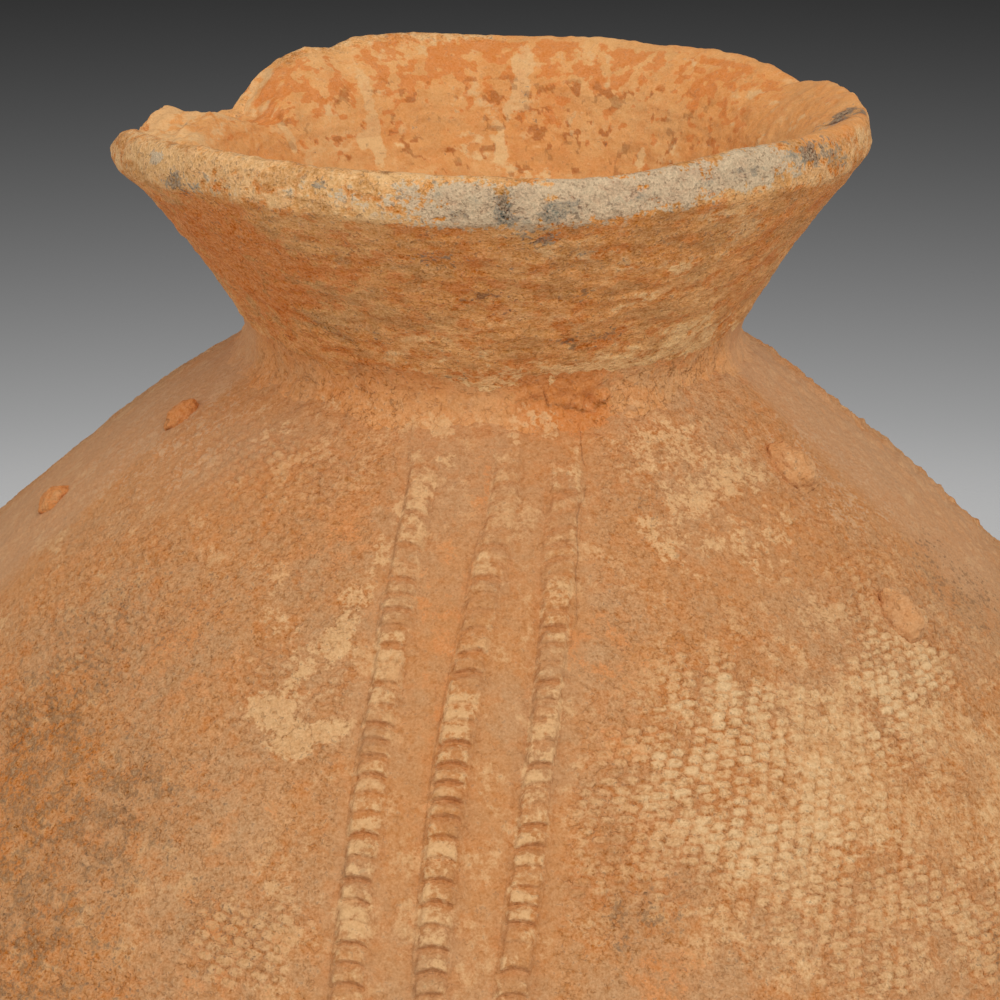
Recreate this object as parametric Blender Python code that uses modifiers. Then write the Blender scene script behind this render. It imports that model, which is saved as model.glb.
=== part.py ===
"""Hand-built terracotta storage jar: a paddled base bowl, eight wall courses, a flared neck with a
thick worn lip, three notched ridges and four pellets.

The jar stands on its flat base with +Z up and its front towards -Y. Its origin is the centre of the
base. Angles round the jar are counted from the front, positive towards +X. The wall is described by
its outer profile, measured as a run s along the clay from the corner under the neck down to the base.
"""

import math

import bmesh
import bpy
from mathutils import Vector

JAR_NAME = "terracotta_storage_jar"

# Body wall
NECK_RADIUS = 0.0842
SHOULDER_SLOPE = math.radians(33.0)
SHOULDER_ARC_RADIUS = 0.770
SHOULDER_RUN = 0.230
BELLY_ARC_RADIUS = 0.215
LOWER_DEPTH = 0.315
BASE_RADIUS = 0.100
BASE_ANGLE = math.radians(28.0)
LOWER_FULLNESS = 0.58
WALL = 0.012

# Courses of the wall, laid one on the next with a slanted lap
COURSES = 8
BOWL_RUN = 0.135
LAP = 0.010
JOINT_GAP = 0.0004

# Neck, lip and the strip luted into the corner under the neck
LIP_RADIUS = 0.1334
NECK_RISE = 0.0724
NECK_BOW = 0.0017
CREST_RADIUS = 0.1270
LIP_HEIGHT = 0.0131
LIP_WALL = 0.0155
RIM_SKIRT = 0.0200
FILLET_LEG = 0.0115
FILLET_EDGE = 0.0010
SEAT_GAP = 0.0003

# Losses along the lip, and its slow waviness
CHIP_DEPTH = 0.0180
CHIP_START = math.radians(-138.0)
CHIP_DEEPEST = math.radians(-127.0)
CHIP_END = math.radians(-78.0)
NICK_DEPTH = 0.0040
NICK_ANGLE = math.radians(120.0)
NICK_HALF_WIDTH = math.radians(9.0)
LIP_WAVE = 0.0012

# Notched ridges down the front of the shoulder
RIDGE_WIDTH = 0.0085
RIDGE_HEIGHT = 0.0038
NOTCH_DEPTH = 0.0019
NOTCH_PITCH = 0.0062
RIDGE_START = 0.0230
RIDGE_RUN = 0.2300
RIDGE_LEAN = 0.115
RIDGE_LEFT_OFFSET = -0.0190
RIDGE_CENTRE_OFFSET = 0.0080
RIDGE_RIGHT_OFFSET = 0.0292

# Pellets on the flanks of the shoulder
PELLET_RADIUS = 0.0075
PELLET_HEIGHT = 0.0046
PELLET_UPPER_LEFT = (math.radians(-70.0), 0.0355)
PELLET_LOWER_LEFT = (math.radians(-78.0), 0.0905)
PELLET_UPPER_RIGHT = (math.radians(56.5), 0.0490)
PELLET_LOWER_RIGHT = (math.radians(53.5), 0.1105)

# Fineness of the facets
TURN_STEPS = 60
PELLET_STEPS = 14
PROFILE_STEP = 0.0005

COLOURS = {
    "base_bowl": (0.36, 0.18, 0.085),
    "body_course": (0.47, 0.245, 0.110),
    "neck_fillet": (0.50, 0.255, 0.105),
    "neck_collar": (0.39, 0.165, 0.055),
    "rim_band": (0.45, 0.305, 0.185),
    "ridge": (0.56, 0.300, 0.120),
    "pellet": (0.58, 0.310, 0.130),
}


def clear_scene():
    for obj in list(bpy.data.objects):
        bpy.data.objects.remove(obj, do_unlink=True)


def clay(name, colour, roughness=0.9):
    material = bpy.data.materials.new(name)
    material.use_nodes = True
    shader = material.node_tree.nodes["Principled BSDF"]
    shader.inputs["Base Color"].default_value = (*colour, 1.0)
    shader.inputs["Roughness"].default_value = roughness
    shader.inputs["Metallic"].default_value = 0.0
    return material


class WallProfile:
    """Outer profile of the body as (radius, height, outward normal) at a run s from the neck corner."""

    def __init__(self):
        points = [Vector((NECK_RADIUS, 0.0))]
        slope = SHOULDER_SLOPE
        run = 0.0
        while slope < math.pi / 2:
            radius = SHOULDER_ARC_RADIUS if run < SHOULDER_RUN else BELLY_ARC_RADIUS
            turn = PROFILE_STEP / radius
            middle = slope + turn / 2
            points.append(points[-1] + PROFILE_STEP * Vector((math.cos(middle), -math.sin(middle))))
            slope += turn
            run += PROFILE_STEP
        points += self.lower_wall(points[-1])[1:]
        drop = -points[-1].y
        self.points = [Vector((p.x, p.y + drop)) for p in points]
        self.runs = [0.0]
        for before, after in zip(self.points, self.points[1:]):
            self.runs.append(self.runs[-1] + (after - before).length)
        self.length = self.runs[-1]
        self.neck_height = drop

    def lower_wall(self, belly):
        """Curve from the belly, where the wall is upright, to the edge of the flat base."""
        foot = Vector((BASE_RADIUS, belly.y - LOWER_DEPTH))
        out = LOWER_FULLNESS * (belly.x - BASE_RADIUS)
        under_belly = belly - Vector((0.0, LOWER_FULLNESS * LOWER_DEPTH))
        over_foot = foot + out * Vector((math.cos(BASE_ANGLE), math.sin(BASE_ANGLE)))
        count = max(40, round(LOWER_DEPTH / PROFILE_STEP))
        curve = []
        for i in range(count + 1):
            t = i / count
            u = 1.0 - t
            curve.append(
                u**3 * belly + 3 * u * u * t * under_belly + 3 * u * t * t * over_foot + t**3 * foot
            )
        return curve

    def outer(self, s):
        """Point on the outside of the wall at run s."""
        point, _ = self.at(s)
        return point

    def inner(self, s):
        """Point on the inside of the wall, straight behind the outer point at run s."""
        point, normal = self.at(s)
        return point - WALL * normal

    def at(self, s):
        low, high = 0, len(self.runs) - 2
        while low < high:
            middle = (low + high + 1) // 2
            if self.runs[middle] <= s:
                low = middle
            else:
                high = middle - 1
        span = self.points[low + 1] - self.points[low]
        point = self.points[low] + span * ((s - self.runs[low]) / span.length)
        along = span.normalized()
        return point, Vector((-along.y, along.x))

    def on_surface(self, angle, s, lift):
        """Point in space at an angle round the jar and a run s, lifted off the clay."""
        point, normal = self.at(s)
        lifted = point + lift * normal
        return Vector((lifted.x * math.sin(angle), -lifted.x * math.cos(angle), lifted.y))

    def normal_in_space(self, angle, s):
        _, normal = self.at(s)
        return Vector((normal.x * math.sin(angle), -normal.x * math.cos(angle), normal.y))


class NeckProfile:
    """Outer profile of the neck from the corner (t = 0) to the lower edge of the lip (t = 1)."""

    def __init__(self, wall):
        self.corner = Vector((NECK_RADIUS, wall.neck_height))
        self.joint = 1.0 - RIM_SKIRT / NECK_RISE
        first = self.outer(self.joint / 3) - self.corner
        self.up = first.normalized()
        shoulder = wall.outer(FILLET_LEG) - self.corner
        self.down = shoulder.normalized()
        self.half = self.up.angle(self.down) / 2
        self.bisector = (self.up + self.down).normalized()
        self.inner_corner = self.corner - self.bisector * (WALL / math.sin(self.half))

    def outer(self, t):
        radius = NECK_RADIUS + (LIP_RADIUS - NECK_RADIUS) * t - 4 * NECK_BOW * t * (1 - t)
        return Vector((radius, self.corner.y + NECK_RISE * t))

    def inner(self, t):
        """Point on the inside of the neck, whose wall thickens towards the lip."""
        along = (self.outer(t + 0.01) - self.outer(t - 0.01)).normalized()
        thickness = WALL + (LIP_WALL - WALL) * t
        return self.outer(t) + thickness * Vector((-along.y, along.x))


def turned(name, profile, steps, closed):
    """Object turned about +Z from a profile of (radius, height) that runs down its outer side."""
    mesh = bpy.data.meshes.new(name)
    edges = [(i, i + 1) for i in range(len(profile) - 1)]
    if closed:
        edges.append((len(profile) - 1, 0))
    mesh.from_pydata([(p[0], 0.0, p[1]) for p in profile], edges, [])
    obj = bpy.data.objects.new(name, mesh)
    screw = obj.modifiers.new("Turn", "SCREW")
    screw.axis = "Z"
    screw.angle = 2 * math.pi
    screw.steps = steps
    screw.render_steps = steps
    screw.use_merge_vertices = True
    screw.merge_threshold = 0.00001
    screw.use_normal_calculate = False
    screw.use_smooth_shade = True
    return obj


def spaced(start, end, count):
    return [start + (end - start) * i / (count - 1) for i in range(count)]


def make_base_bowl(wall, top):
    """Flat-based bowl that the lowest course stands on."""
    outer = [wall.outer(s) for s in spaced(top + JOINT_GAP / 2, wall.length, 6)]
    inner = [wall.inner(s) for s in spaced(wall.length, top + LAP + JOINT_GAP / 2, 5)]
    profile = [(0.0, WALL * 1.1)] + inner + outer + [(0.0, 0.0)]
    return turned("base_bowl", profile, TURN_STEPS, closed=False)


def make_course(wall, neck, number, top, bottom):
    """Ring of the wall between two laps; the uppermost is mitred against the neck."""
    half_gap = JOINT_GAP / 2
    outer_end = bottom - half_gap
    inner_end = bottom + LAP - half_gap
    if top > 0.0:
        outer = [wall.outer(s) for s in spaced(top + half_gap, outer_end, 3)]
        inner = [wall.inner(s) for s in spaced(inner_end, top + LAP + half_gap, 3)]
    else:
        back = half_gap / math.sin(neck.half)
        outer = [neck.corner + back * neck.down]
        outer += [wall.outer(s) for s in spaced(1.5 * FILLET_LEG, outer_end, 3)]
        inner = [wall.inner(s) for s in spaced(inner_end, LAP, 3)]
        inner.append(neck.inner_corner + back * neck.down)
    return turned(f"body_course_{number}", outer + inner, TURN_STEPS, closed=True)


def make_neck_collar(neck):
    """Flared collar between the shoulder and the rim."""
    back = JOINT_GAP / 2 / math.sin(neck.half)
    top = neck.joint - JOINT_GAP / NECK_RISE
    heights = spaced(top, neck.joint / 3, 3)
    outer = [neck.outer(t) for t in heights] + [neck.corner + back * neck.up]
    inner = [neck.inner_corner + back * neck.up] + [neck.inner(t) for t in reversed(heights)]
    return turned("neck_collar", outer + inner, TURN_STEPS, closed=True)


def make_neck_fillet(neck):
    """Strip of clay luted into the corner between the neck and the shoulder."""
    root = neck.corner + neck.bisector * (SEAT_GAP / math.sin(neck.half))
    upper = root + FILLET_LEG * neck.up
    lower = root + FILLET_LEG * neck.down
    off_neck = Vector((neck.up.y, -neck.up.x))
    off_shoulder = Vector((-neck.down.y, neck.down.x))
    hollow = root + 0.42 * FILLET_LEG * neck.bisector
    profile = [
        upper,
        upper + FILLET_EDGE * off_neck,
        hollow,
        lower + FILLET_EDGE * off_shoulder,
        lower,
        root,
    ]
    return turned("neck_fillet", profile, TURN_STEPS, closed=True)


def smooth(value):
    value = min(1.0, max(0.0, value))
    return value * value * (3 - 2 * value)


def lip_loss(angle):
    """Height lost from the crest at an angle: a broad break, one nick and slow waves."""
    if angle < CHIP_DEEPEST:
        chip = smooth((angle - CHIP_START) / (CHIP_DEEPEST - CHIP_START))
    else:
        chip = smooth((CHIP_END - angle) / (CHIP_END - CHIP_DEEPEST))
    nick = smooth(1.0 - abs(angle - NICK_ANGLE) / NICK_HALF_WIDTH)
    wave = 0.5 + 0.25 * math.sin(2 * angle + 0.6) + 0.25 * math.sin(5 * angle)
    return CHIP_DEPTH * chip + NICK_DEPTH * nick + LIP_WAVE * wave


def make_rim_band(neck):
    """Thick lip, turned and then worn down round its crest."""
    bottom = neck.joint + JOINT_GAP / NECK_RISE
    crest = neck.corner.y + NECK_RISE + LIP_HEIGHT
    skirt = neck.outer(bottom)
    inside = neck.inner(bottom)
    edge = neck.outer(1.0)
    throat = neck.inner(1.0)
    profile = [
        Vector((CREST_RADIUS, crest)),
        Vector((CREST_RADIUS + 0.55 * (LIP_RADIUS - CREST_RADIUS), crest - 0.14 * LIP_HEIGHT)),
        Vector((CREST_RADIUS + 0.95 * (LIP_RADIUS - CREST_RADIUS), crest - 0.55 * LIP_HEIGHT)),
        edge,
        edge.lerp(skirt, 0.5),
        skirt,
        inside,
        inside.lerp(throat, 0.6),
        Vector((CREST_RADIUS - 0.6 * LIP_WALL, crest - 0.42 * LIP_HEIGHT)),
        Vector((CREST_RADIUS - 0.28 * LIP_WALL, crest - 0.10 * LIP_HEIGHT)),
    ]
    mesh = bmesh.new()
    loop = [mesh.verts.new((p.x, 0.0, p.y)) for p in profile]
    sides = [mesh.edges.new((a, b)) for a, b in zip(loop, loop[1:] + loop[:1])]
    bmesh.ops.spin(
        mesh,
        geom=loop + sides,
        cent=(0.0, 0.0, 0.0),
        axis=(0.0, 0.0, 1.0),
        angle=2 * math.pi,
        steps=TURN_STEPS,
        use_merge=True,
    )
    foot = skirt.y if skirt.y > inside.y else inside.y
    for vert in mesh.verts:
        rise = vert.co.z - foot
        if rise <= 0.0:
            continue
        loss = lip_loss(math.atan2(vert.co.x, -vert.co.y))
        kept = max(0.25, 1.0 - loss / (crest - foot))
        sink = rise * (1.0 - kept)
        radius = math.hypot(vert.co.x, vert.co.y)
        narrowed = (radius - 0.35 * sink) / radius
        vert.co = Vector((vert.co.x * narrowed, vert.co.y * narrowed, vert.co.z - sink))
    bmesh.ops.recalc_face_normals(mesh, faces=mesh.faces)
    return object_from("rim_band", mesh)


def object_from(name, mesh):
    data = bpy.data.meshes.new(name)
    mesh.to_mesh(data)
    mesh.free()
    data.shade_smooth()
    data.set_sharp_from_angle(angle=math.radians(40.0))
    return bpy.data.objects.new(name, data)


def ridge_section(wall, offset, s, height):
    """Ring of points round a ridge, across the shoulder at run s."""
    sideways = offset - RIDGE_LEAN * (s - RIDGE_START)
    half = RIDGE_WIDTH / 2
    shape = [(-1.0, 0.0), (-0.9, 0.5), (-0.45, 1.0), (0.45, 1.0), (0.9, 0.5), (1.0, 0.0)]
    radius = wall.outer(s).x
    return [
        wall.on_surface((sideways + across * half) / radius, s, SEAT_GAP + up * height)
        for across, up in shape
    ]


def make_ridge(wall, name, offset):
    """Strip of clay pinched along its crest into a row of finger notches."""
    stations = [(RIDGE_START, 0.4 * RIDGE_HEIGHT)]
    for i in range(round(RIDGE_RUN / NOTCH_PITCH)):
        start = RIDGE_START + (i + 0.25) * NOTCH_PITCH
        stations.append((start, RIDGE_HEIGHT - NOTCH_DEPTH))
        stations.append((start + 0.34 * NOTCH_PITCH, RIDGE_HEIGHT))
        stations.append((start + 0.66 * NOTCH_PITCH, RIDGE_HEIGHT))
    stations.append((stations[-1][0] + 0.6 * NOTCH_PITCH, 0.4 * RIDGE_HEIGHT))
    mesh = bmesh.new()
    rings = [
        [mesh.verts.new(p) for p in ridge_section(wall, offset, s, height)] for s, height in stations
    ]
    for upper, lower in zip(rings, rings[1:]):
        for i in range(len(upper)):
            j = (i + 1) % len(upper)
            mesh.faces.new((upper[i], upper[j], lower[j], lower[i]))
    mesh.faces.new(rings[0])
    mesh.faces.new(rings[-1])
    bmesh.ops.recalc_face_normals(mesh, faces=mesh.faces)
    return object_from(name, mesh)


def make_pellet(wall, name, place):
    """Flattened ball of clay pressed on to the shoulder."""
    angle, s = place
    profile = [
        (0.0, PELLET_HEIGHT),
        (0.50 * PELLET_RADIUS, 0.88 * PELLET_HEIGHT),
        (0.85 * PELLET_RADIUS, 0.55 * PELLET_HEIGHT),
        (PELLET_RADIUS, 0.14 * PELLET_HEIGHT),
        (0.96 * PELLET_RADIUS, 0.0),
        (0.0, 0.0),
    ]
    pellet = turned(name, profile, PELLET_STEPS, closed=False)
    pellet.location = wall.on_surface(angle, s, SEAT_GAP)
    pellet.rotation_mode = "QUATERNION"
    pellet.rotation_quaternion = wall.normal_in_space(angle, s).to_track_quat("Z", "Y")
    return pellet


def build():
    clear_scene()
    collection = bpy.data.collections.new(JAR_NAME)
    bpy.context.scene.collection.children.link(collection)
    stand = bpy.data.objects.new("jar_origin", None)
    stand.empty_display_size = 0.1
    collection.objects.link(stand)

    wall = WallProfile()
    neck = NeckProfile(wall)
    bowl_top = wall.length - BOWL_RUN
    laps = spaced(bowl_top, 0.0, COURSES + 1)

    pieces = [(make_base_bowl(wall, bowl_top), "base_bowl")]
    for number, (bottom, top) in enumerate(zip(laps, laps[1:]), start=1):
        pieces.append((make_course(wall, neck, number, top, bottom), "body_course"))
    pieces.append((make_neck_collar(neck), "neck_collar"))
    pieces.append((make_neck_fillet(neck), "neck_fillet"))
    pieces.append((make_rim_band(neck), "rim_band"))
    pieces.append((make_ridge(wall, "ridge_left", RIDGE_LEFT_OFFSET), "ridge"))
    pieces.append((make_ridge(wall, "ridge_centre", RIDGE_CENTRE_OFFSET), "ridge"))
    pieces.append((make_ridge(wall, "ridge_right", RIDGE_RIGHT_OFFSET), "ridge"))
    pieces.append((make_pellet(wall, "pellet_upper_left", PELLET_UPPER_LEFT), "pellet"))
    pieces.append((make_pellet(wall, "pellet_lower_left", PELLET_LOWER_LEFT), "pellet"))
    pieces.append((make_pellet(wall, "pellet_upper_right", PELLET_UPPER_RIGHT), "pellet"))
    pieces.append((make_pellet(wall, "pellet_lower_right", PELLET_LOWER_RIGHT), "pellet"))

    for obj, finish in pieces:
        obj.data.materials.append(clay(f"clay_{obj.name}", COLOURS[finish]))
        obj.parent = stand
        collection.objects.link(obj)


build()
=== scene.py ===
"""Hand-built terracotta storage jar: fine clay surfaces over the jar's solids, in a plain studio.

Lengths are in metres. The jar stands on the floor with +Z up and its front towards -Y. Angles round
the jar are counted from the front, positive towards +X. A place on the body is an angle and a run,
the distance down the clay from the corner under the neck.
"""

import logging
import math
from dataclasses import dataclass, field, replace
from enum import Enum

import bmesh
import bpy
import numpy as np
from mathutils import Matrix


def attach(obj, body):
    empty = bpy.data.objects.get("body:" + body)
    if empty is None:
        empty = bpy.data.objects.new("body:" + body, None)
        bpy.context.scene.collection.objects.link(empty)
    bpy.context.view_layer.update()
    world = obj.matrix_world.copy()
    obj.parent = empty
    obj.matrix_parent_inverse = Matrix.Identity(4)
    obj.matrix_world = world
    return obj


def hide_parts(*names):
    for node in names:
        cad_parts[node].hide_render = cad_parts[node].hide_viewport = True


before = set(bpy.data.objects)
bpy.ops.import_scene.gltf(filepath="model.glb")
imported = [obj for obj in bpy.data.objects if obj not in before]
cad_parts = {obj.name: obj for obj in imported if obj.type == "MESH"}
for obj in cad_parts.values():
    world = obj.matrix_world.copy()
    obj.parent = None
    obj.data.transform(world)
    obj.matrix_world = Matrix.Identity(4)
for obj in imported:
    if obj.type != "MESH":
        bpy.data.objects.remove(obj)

LOG = logging.getLogger("jar")
MM = 0.001
ROOT = "root"
TINY = 1e-12
WELD = 1e-6
Array = np.ndarray
Triple = tuple[float, float, float]
Colour = tuple[float, float, float, float]
Fade = tuple[float, float]
Span = tuple[float, float, float, float]


def tone(red: int, green: int, blue: int) -> Colour:
    """Turn a display colour into the linear colour that shaders use.

    Args:
        red: Red, 0 to 255.
        green: Green, 0 to 255.
        blue: Blue, 0 to 255.

    Returns:
        Linear red, green, blue and full opacity.
    """
    linear = []
    for part in (red, green, blue):
        share = part / 255.0
        linear.append(share / 12.92 if share <= 0.04045 else ((share + 0.055) / 1.055) ** 2.4)
    return (linear[0], linear[1], linear[2], 1.0)


def ease(value: Array, low: float, high: float) -> Array:
    """Rise smoothly from 0 where the value is low to 1 where it is high."""
    share = np.clip((value - low) / (high - low), 0.0, 1.0)
    return share * share * (3.0 - 2.0 * share)


def between(value: Array, low: float, full: float, fading: float, high: float) -> Array:
    """Rise smoothly from 0 at low to 1 at full, and fall from 1 at fading to 0 at high."""
    return ease(value, low, full) * ease(value, high, fading)


def wrapped(angle: Array) -> Array:
    """Bring angles to within half a turn of the front."""
    return np.remainder(angle + math.pi, 2 * math.pi) - math.pi


def whole_turn(columns: int) -> Array:
    """Angles of columns all round the jar, from the back round to the back."""
    return np.linspace(-math.pi, math.pi, columns + 1)


def padded(values: Array) -> Array:
    """Extend a rising or falling list by one step at each end."""
    first, last = 2 * values[0] - values[1], 2 * values[-1] - values[-2]
    return np.concatenate([[first], values, [last]])


def padded_grid(rows: Array, columns: Array) -> list[Array]:
    """Spread the values of rows and of columns over a grid that has one extra line all round."""
    return np.meshgrid(padded(rows), padded(columns), indexing="ij")


class Grain:
    """Repeatable noise in space, for the unevenness that hands and wear leave in clay."""

    WORD = 2**32
    SEED_FACTOR = 3266489917
    SEED_OFFSET = 97
    LAYER_STEP = 31
    AXIS_FACTORS = (374761393, 668265263, 2246822519)
    STIRS = ((13, 1274126177), (15, 2246822519), (16, 1))
    FADE = 0.55
    GAIN = 1.2

    @staticmethod
    def whole(values: Array) -> Array:
        """Round down to the unsigned whole numbers that scatter takes."""
        return np.floor(values).astype(np.int64).astype(np.uint32)

    @classmethod
    def scatter(cls, cells: list[Array], seed: int) -> Array:
        """Give each whole-numbered cell its own value.

        Args:
            cells: Whole numbers along each axis, as unsigned arrays.
            seed: Number that tells one field from another.

        Returns:
            Values from -1 to 1.
        """
        mixed = np.full(cells[0].shape, (seed * cls.SEED_FACTOR + cls.SEED_OFFSET) % cls.WORD, np.uint32)
        for part, factor in zip(cells, cls.AXIS_FACTORS):
            mixed = mixed + part * np.uint32(factor)
        for shift, factor in cls.STIRS:
            mixed = (mixed ^ (mixed >> np.uint32(shift))) * np.uint32(factor)
        return mixed.astype(np.float64) * (2.0 / (cls.WORD - 1)) - 1.0

    @classmethod
    def noise(cls, points: Array, size: float, seed: int) -> Array:
        """Smooth noise whose bumps are about as wide as size.

        Args:
            points: Places, with x, y and z on the last axis.
            size: Width of a bump.
            seed: Number that tells one field from another.

        Returns:
            Values from -1 to 1, one for each place.
        """
        scaled = points / size
        part = scaled - np.floor(scaled)
        weight = part * part * (3.0 - 2.0 * part)
        low = cls.whole(scaled)
        total = np.zeros(points.shape[:-1])
        for corner in range(8):
            share = 1.0
            cells = []
            for axis in range(3):
                step = (corner >> axis) & 1
                share = share * (weight[..., axis] if step else 1.0 - weight[..., axis])
                cells.append(low[..., axis] + np.uint32(step))
            total += share * cls.scatter(cells, seed)
        return total

    @classmethod
    def layers(cls, points: Array, size: float, count: int, seed: int) -> Array:
        """Add finer and weaker layers of noise.

        Args:
            points: Places, with x, y and z on the last axis.
            size: Width of the widest bumps.
            count: Number of layers, each half as wide as the one before.
            seed: Number that tells one field from another.

        Returns:
            Values from about -1 to 1, one for each place.
        """
        total = np.zeros(points.shape[:-1])
        for layer in range(count):
            total += cls.noise(points, size / 2**layer, seed + cls.LAYER_STEP * layer) * cls.FADE**layer
        return total * cls.GAIN


@dataclass(frozen=True)
class Lumps:
    """Unevenness of clay: its height and the width of its widest lumps, in millimetres."""

    height: float
    width: float
    layers: int
    seed: int

    def at(self, place: Array) -> Array:
        """Heights of the lumps at each place."""
        return self.height * MM * Grain.layers(place, self.width * MM, self.layers, self.seed)


@dataclass(frozen=True)
class Spots:
    """Places on the clay: angles round the jar, radii, runs or heights, and points in space."""

    angle: Array
    radius: Array
    along: Array
    place: Array


@dataclass(frozen=True)
class Patch:
    """A soft-edged place on the clay where a stain or wear gathers, in degrees and millimetres."""

    angle: float
    along: float
    half_width: float
    half_length: float
    strength: float = 1.0
    turn: float = 0.0

    def cover(self, spots: Spots) -> Array:
        """Tell how far the patch covers each place.

        Args:
            spots: Places on the clay.

        Returns:
            Cover from 0 to the patch's strength.
        """
        across = wrapped(spots.angle - math.radians(self.angle)) * spots.radius
        down = spots.along - self.along * MM
        cosine, sine = math.cos(math.radians(self.turn)), math.sin(math.radians(self.turn))
        first = (across * cosine + down * sine) / (self.half_width * MM)
        second = (down * cosine - across * sine) / (self.half_length * MM)
        return self.strength * ease(np.hypot(first, second), 1.25, 0.35)


Patches = tuple[Patch, ...]


def patches(*rows: tuple[float, ...]) -> Patches:
    """Make patches from rows that hold their values in order."""
    return tuple(Patch(*row) for row in rows)


def covered(parts: Patches, spots: Spots) -> Array:
    """Add up patches.

    Args:
        parts: The patches.
        spots: Places on the clay.

    Returns:
        Cover, from 0 to 1.5.
    """
    total = np.zeros_like(spots.along)
    for patch in parts:
        total = total + patch.cover(spots)
    return np.clip(total, 0.0, 1.5)


@dataclass
class Wall:
    """Outer profile of the body, the same curve as its solids."""

    neck_radius: float = 0.0842
    shoulder_slope: float = math.radians(33.0)
    shoulder_arc: float = 0.770
    shoulder_run: float = 0.230
    belly_arc: float = 0.215
    lower_depth: float = 0.315
    base_radius: float = 0.100
    base_angle: float = math.radians(28.0)
    fullness: float = 0.58
    thickness: float = 0.012
    lean: float = 0.0034
    lean_run: float = 0.075
    step: float = 0.0005
    lower_steps: int = 630
    runs: Array = field(init=False)
    radii: Array = field(init=False)
    heights: Array = field(init=False)
    out: Array = field(init=False)
    up: Array = field(init=False)

    def __post_init__(self) -> None:
        """Trace the profile from the neck corner to the edge of the base."""
        slopes = [self.shoulder_slope]
        while slopes[-1] < math.pi / 2:
            arc = self.shoulder_arc if len(slopes) * self.step <= self.shoulder_run else self.belly_arc
            slopes.append(slopes[-1] + self.step / arc)
        middle = (np.array(slopes[1:]) + np.array(slopes[:-1])) / 2
        radii = self.neck_radius + np.concatenate([[0.0], np.cumsum(np.cos(middle)) * self.step])
        heights = -np.concatenate([[0.0], np.cumsum(np.sin(middle)) * self.step])
        belly = np.array([radii[-1], heights[-1]])
        foot = np.array([self.base_radius, belly[1] - self.lower_depth])
        reach = self.fullness * (belly[0] - self.base_radius)
        under = belly - np.array([0.0, self.fullness * self.lower_depth])
        over = foot + reach * np.array([math.cos(self.base_angle), math.sin(self.base_angle)])
        t = np.linspace(0.0, 1.0, self.lower_steps + 1)[1:, None]
        u = 1.0 - t
        lower = u**3 * belly + 3 * u * u * t * under + 3 * u * t * t * over + t**3 * foot
        self.radii = np.concatenate([radii, lower[:, 0]])
        self.heights = np.concatenate([heights, lower[:, 1]]) - foot[1]
        along_r, along_z = np.gradient(self.radii), np.gradient(self.heights)
        length = np.hypot(along_r, along_z)
        self.out, self.up = -along_z / length, along_r / length
        steps = np.hypot(np.diff(self.radii), np.diff(self.heights))
        self.runs = np.concatenate([[0.0], np.cumsum(steps)])

    @property
    def length(self) -> float:
        """Run from the neck corner to the edge of the base."""
        return float(self.runs[-1])

    @property
    def neck_height(self) -> float:
        """Height of the corner under the neck."""
        return float(self.heights[0])

    def radius(self, run: Array) -> Array:
        """Radius of the outer surface at each run."""
        return np.interp(run, self.runs, self.radii)

    def points(self, angle: Array, run: Array, lift: Array) -> Array:
        """Places in space.

        Args:
            angle: Angles round the jar, in radians.
            run: Runs down the clay.
            lift: Heights above the plain outer surface.

        Returns:
            Places, with x, y and z on the last axis.
        """
        radius = self.radius(run) + lift * np.interp(run, self.runs, self.out)
        height = np.interp(run, self.runs, self.heights) + lift * np.interp(run, self.runs, self.up)
        aside = self.lean * ease(run, self.lean_run, 0.0)
        return np.stack([radius * np.sin(angle) + aside, -radius * np.cos(angle), height], -1)


class Stain(Enum):
    """Masks that the meshes carry for their finishes."""

    CELL = "cell"
    GROOVE_SHADE = "groove"
    CREAM = "cream"
    PALE = "pale"
    DARK = "dark"
    ORANGE = "orange"
    GREY = "grey"
    CRACK = "crack"
    SMOOTH = "smooth"


Stains = dict[Stain, Array]


class Socket:
    """A value in a shader that takes part in arithmetic."""

    def __init__(self, graph: "Graph", link: bpy.types.NodeSocket) -> None:
        """Keep the graph and the socket that gives the value."""
        self.graph = graph
        self.link = link

    def _math(self, operation: str, first: object, second: object) -> "Socket":
        """Add a Math node for two values or sockets."""
        return self.graph.node("ShaderNodeMath", {"operation": operation}, {0: first, 1: second})

    def __add__(self, other: object) -> "Socket":
        """Add."""
        return self._math("ADD", self, other)

    __radd__ = __add__

    def __sub__(self, other: object) -> "Socket":
        """Subtract."""
        return self._math("SUBTRACT", self, other)

    def __rsub__(self, other: object) -> "Socket":
        """Subtract from a value."""
        return self._math("SUBTRACT", other, self)

    def __mul__(self, other: object) -> "Socket":
        """Multiply."""
        return self._math("MULTIPLY", self, other)

    __rmul__ = __mul__

    def __pow__(self, other: object) -> "Socket":
        """Raise to a power."""
        return self._math("POWER", self, other)

    def ease(self, low: float, high: float) -> "Socket":
        """Rise smoothly from 0 at low to 1 at high."""
        inputs = {"Value": self, "From Min": low, "From Max": high}
        return self.graph.node("ShaderNodeMapRange", {"interpolation_type": "SMOOTHSTEP"}, inputs)


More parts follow.
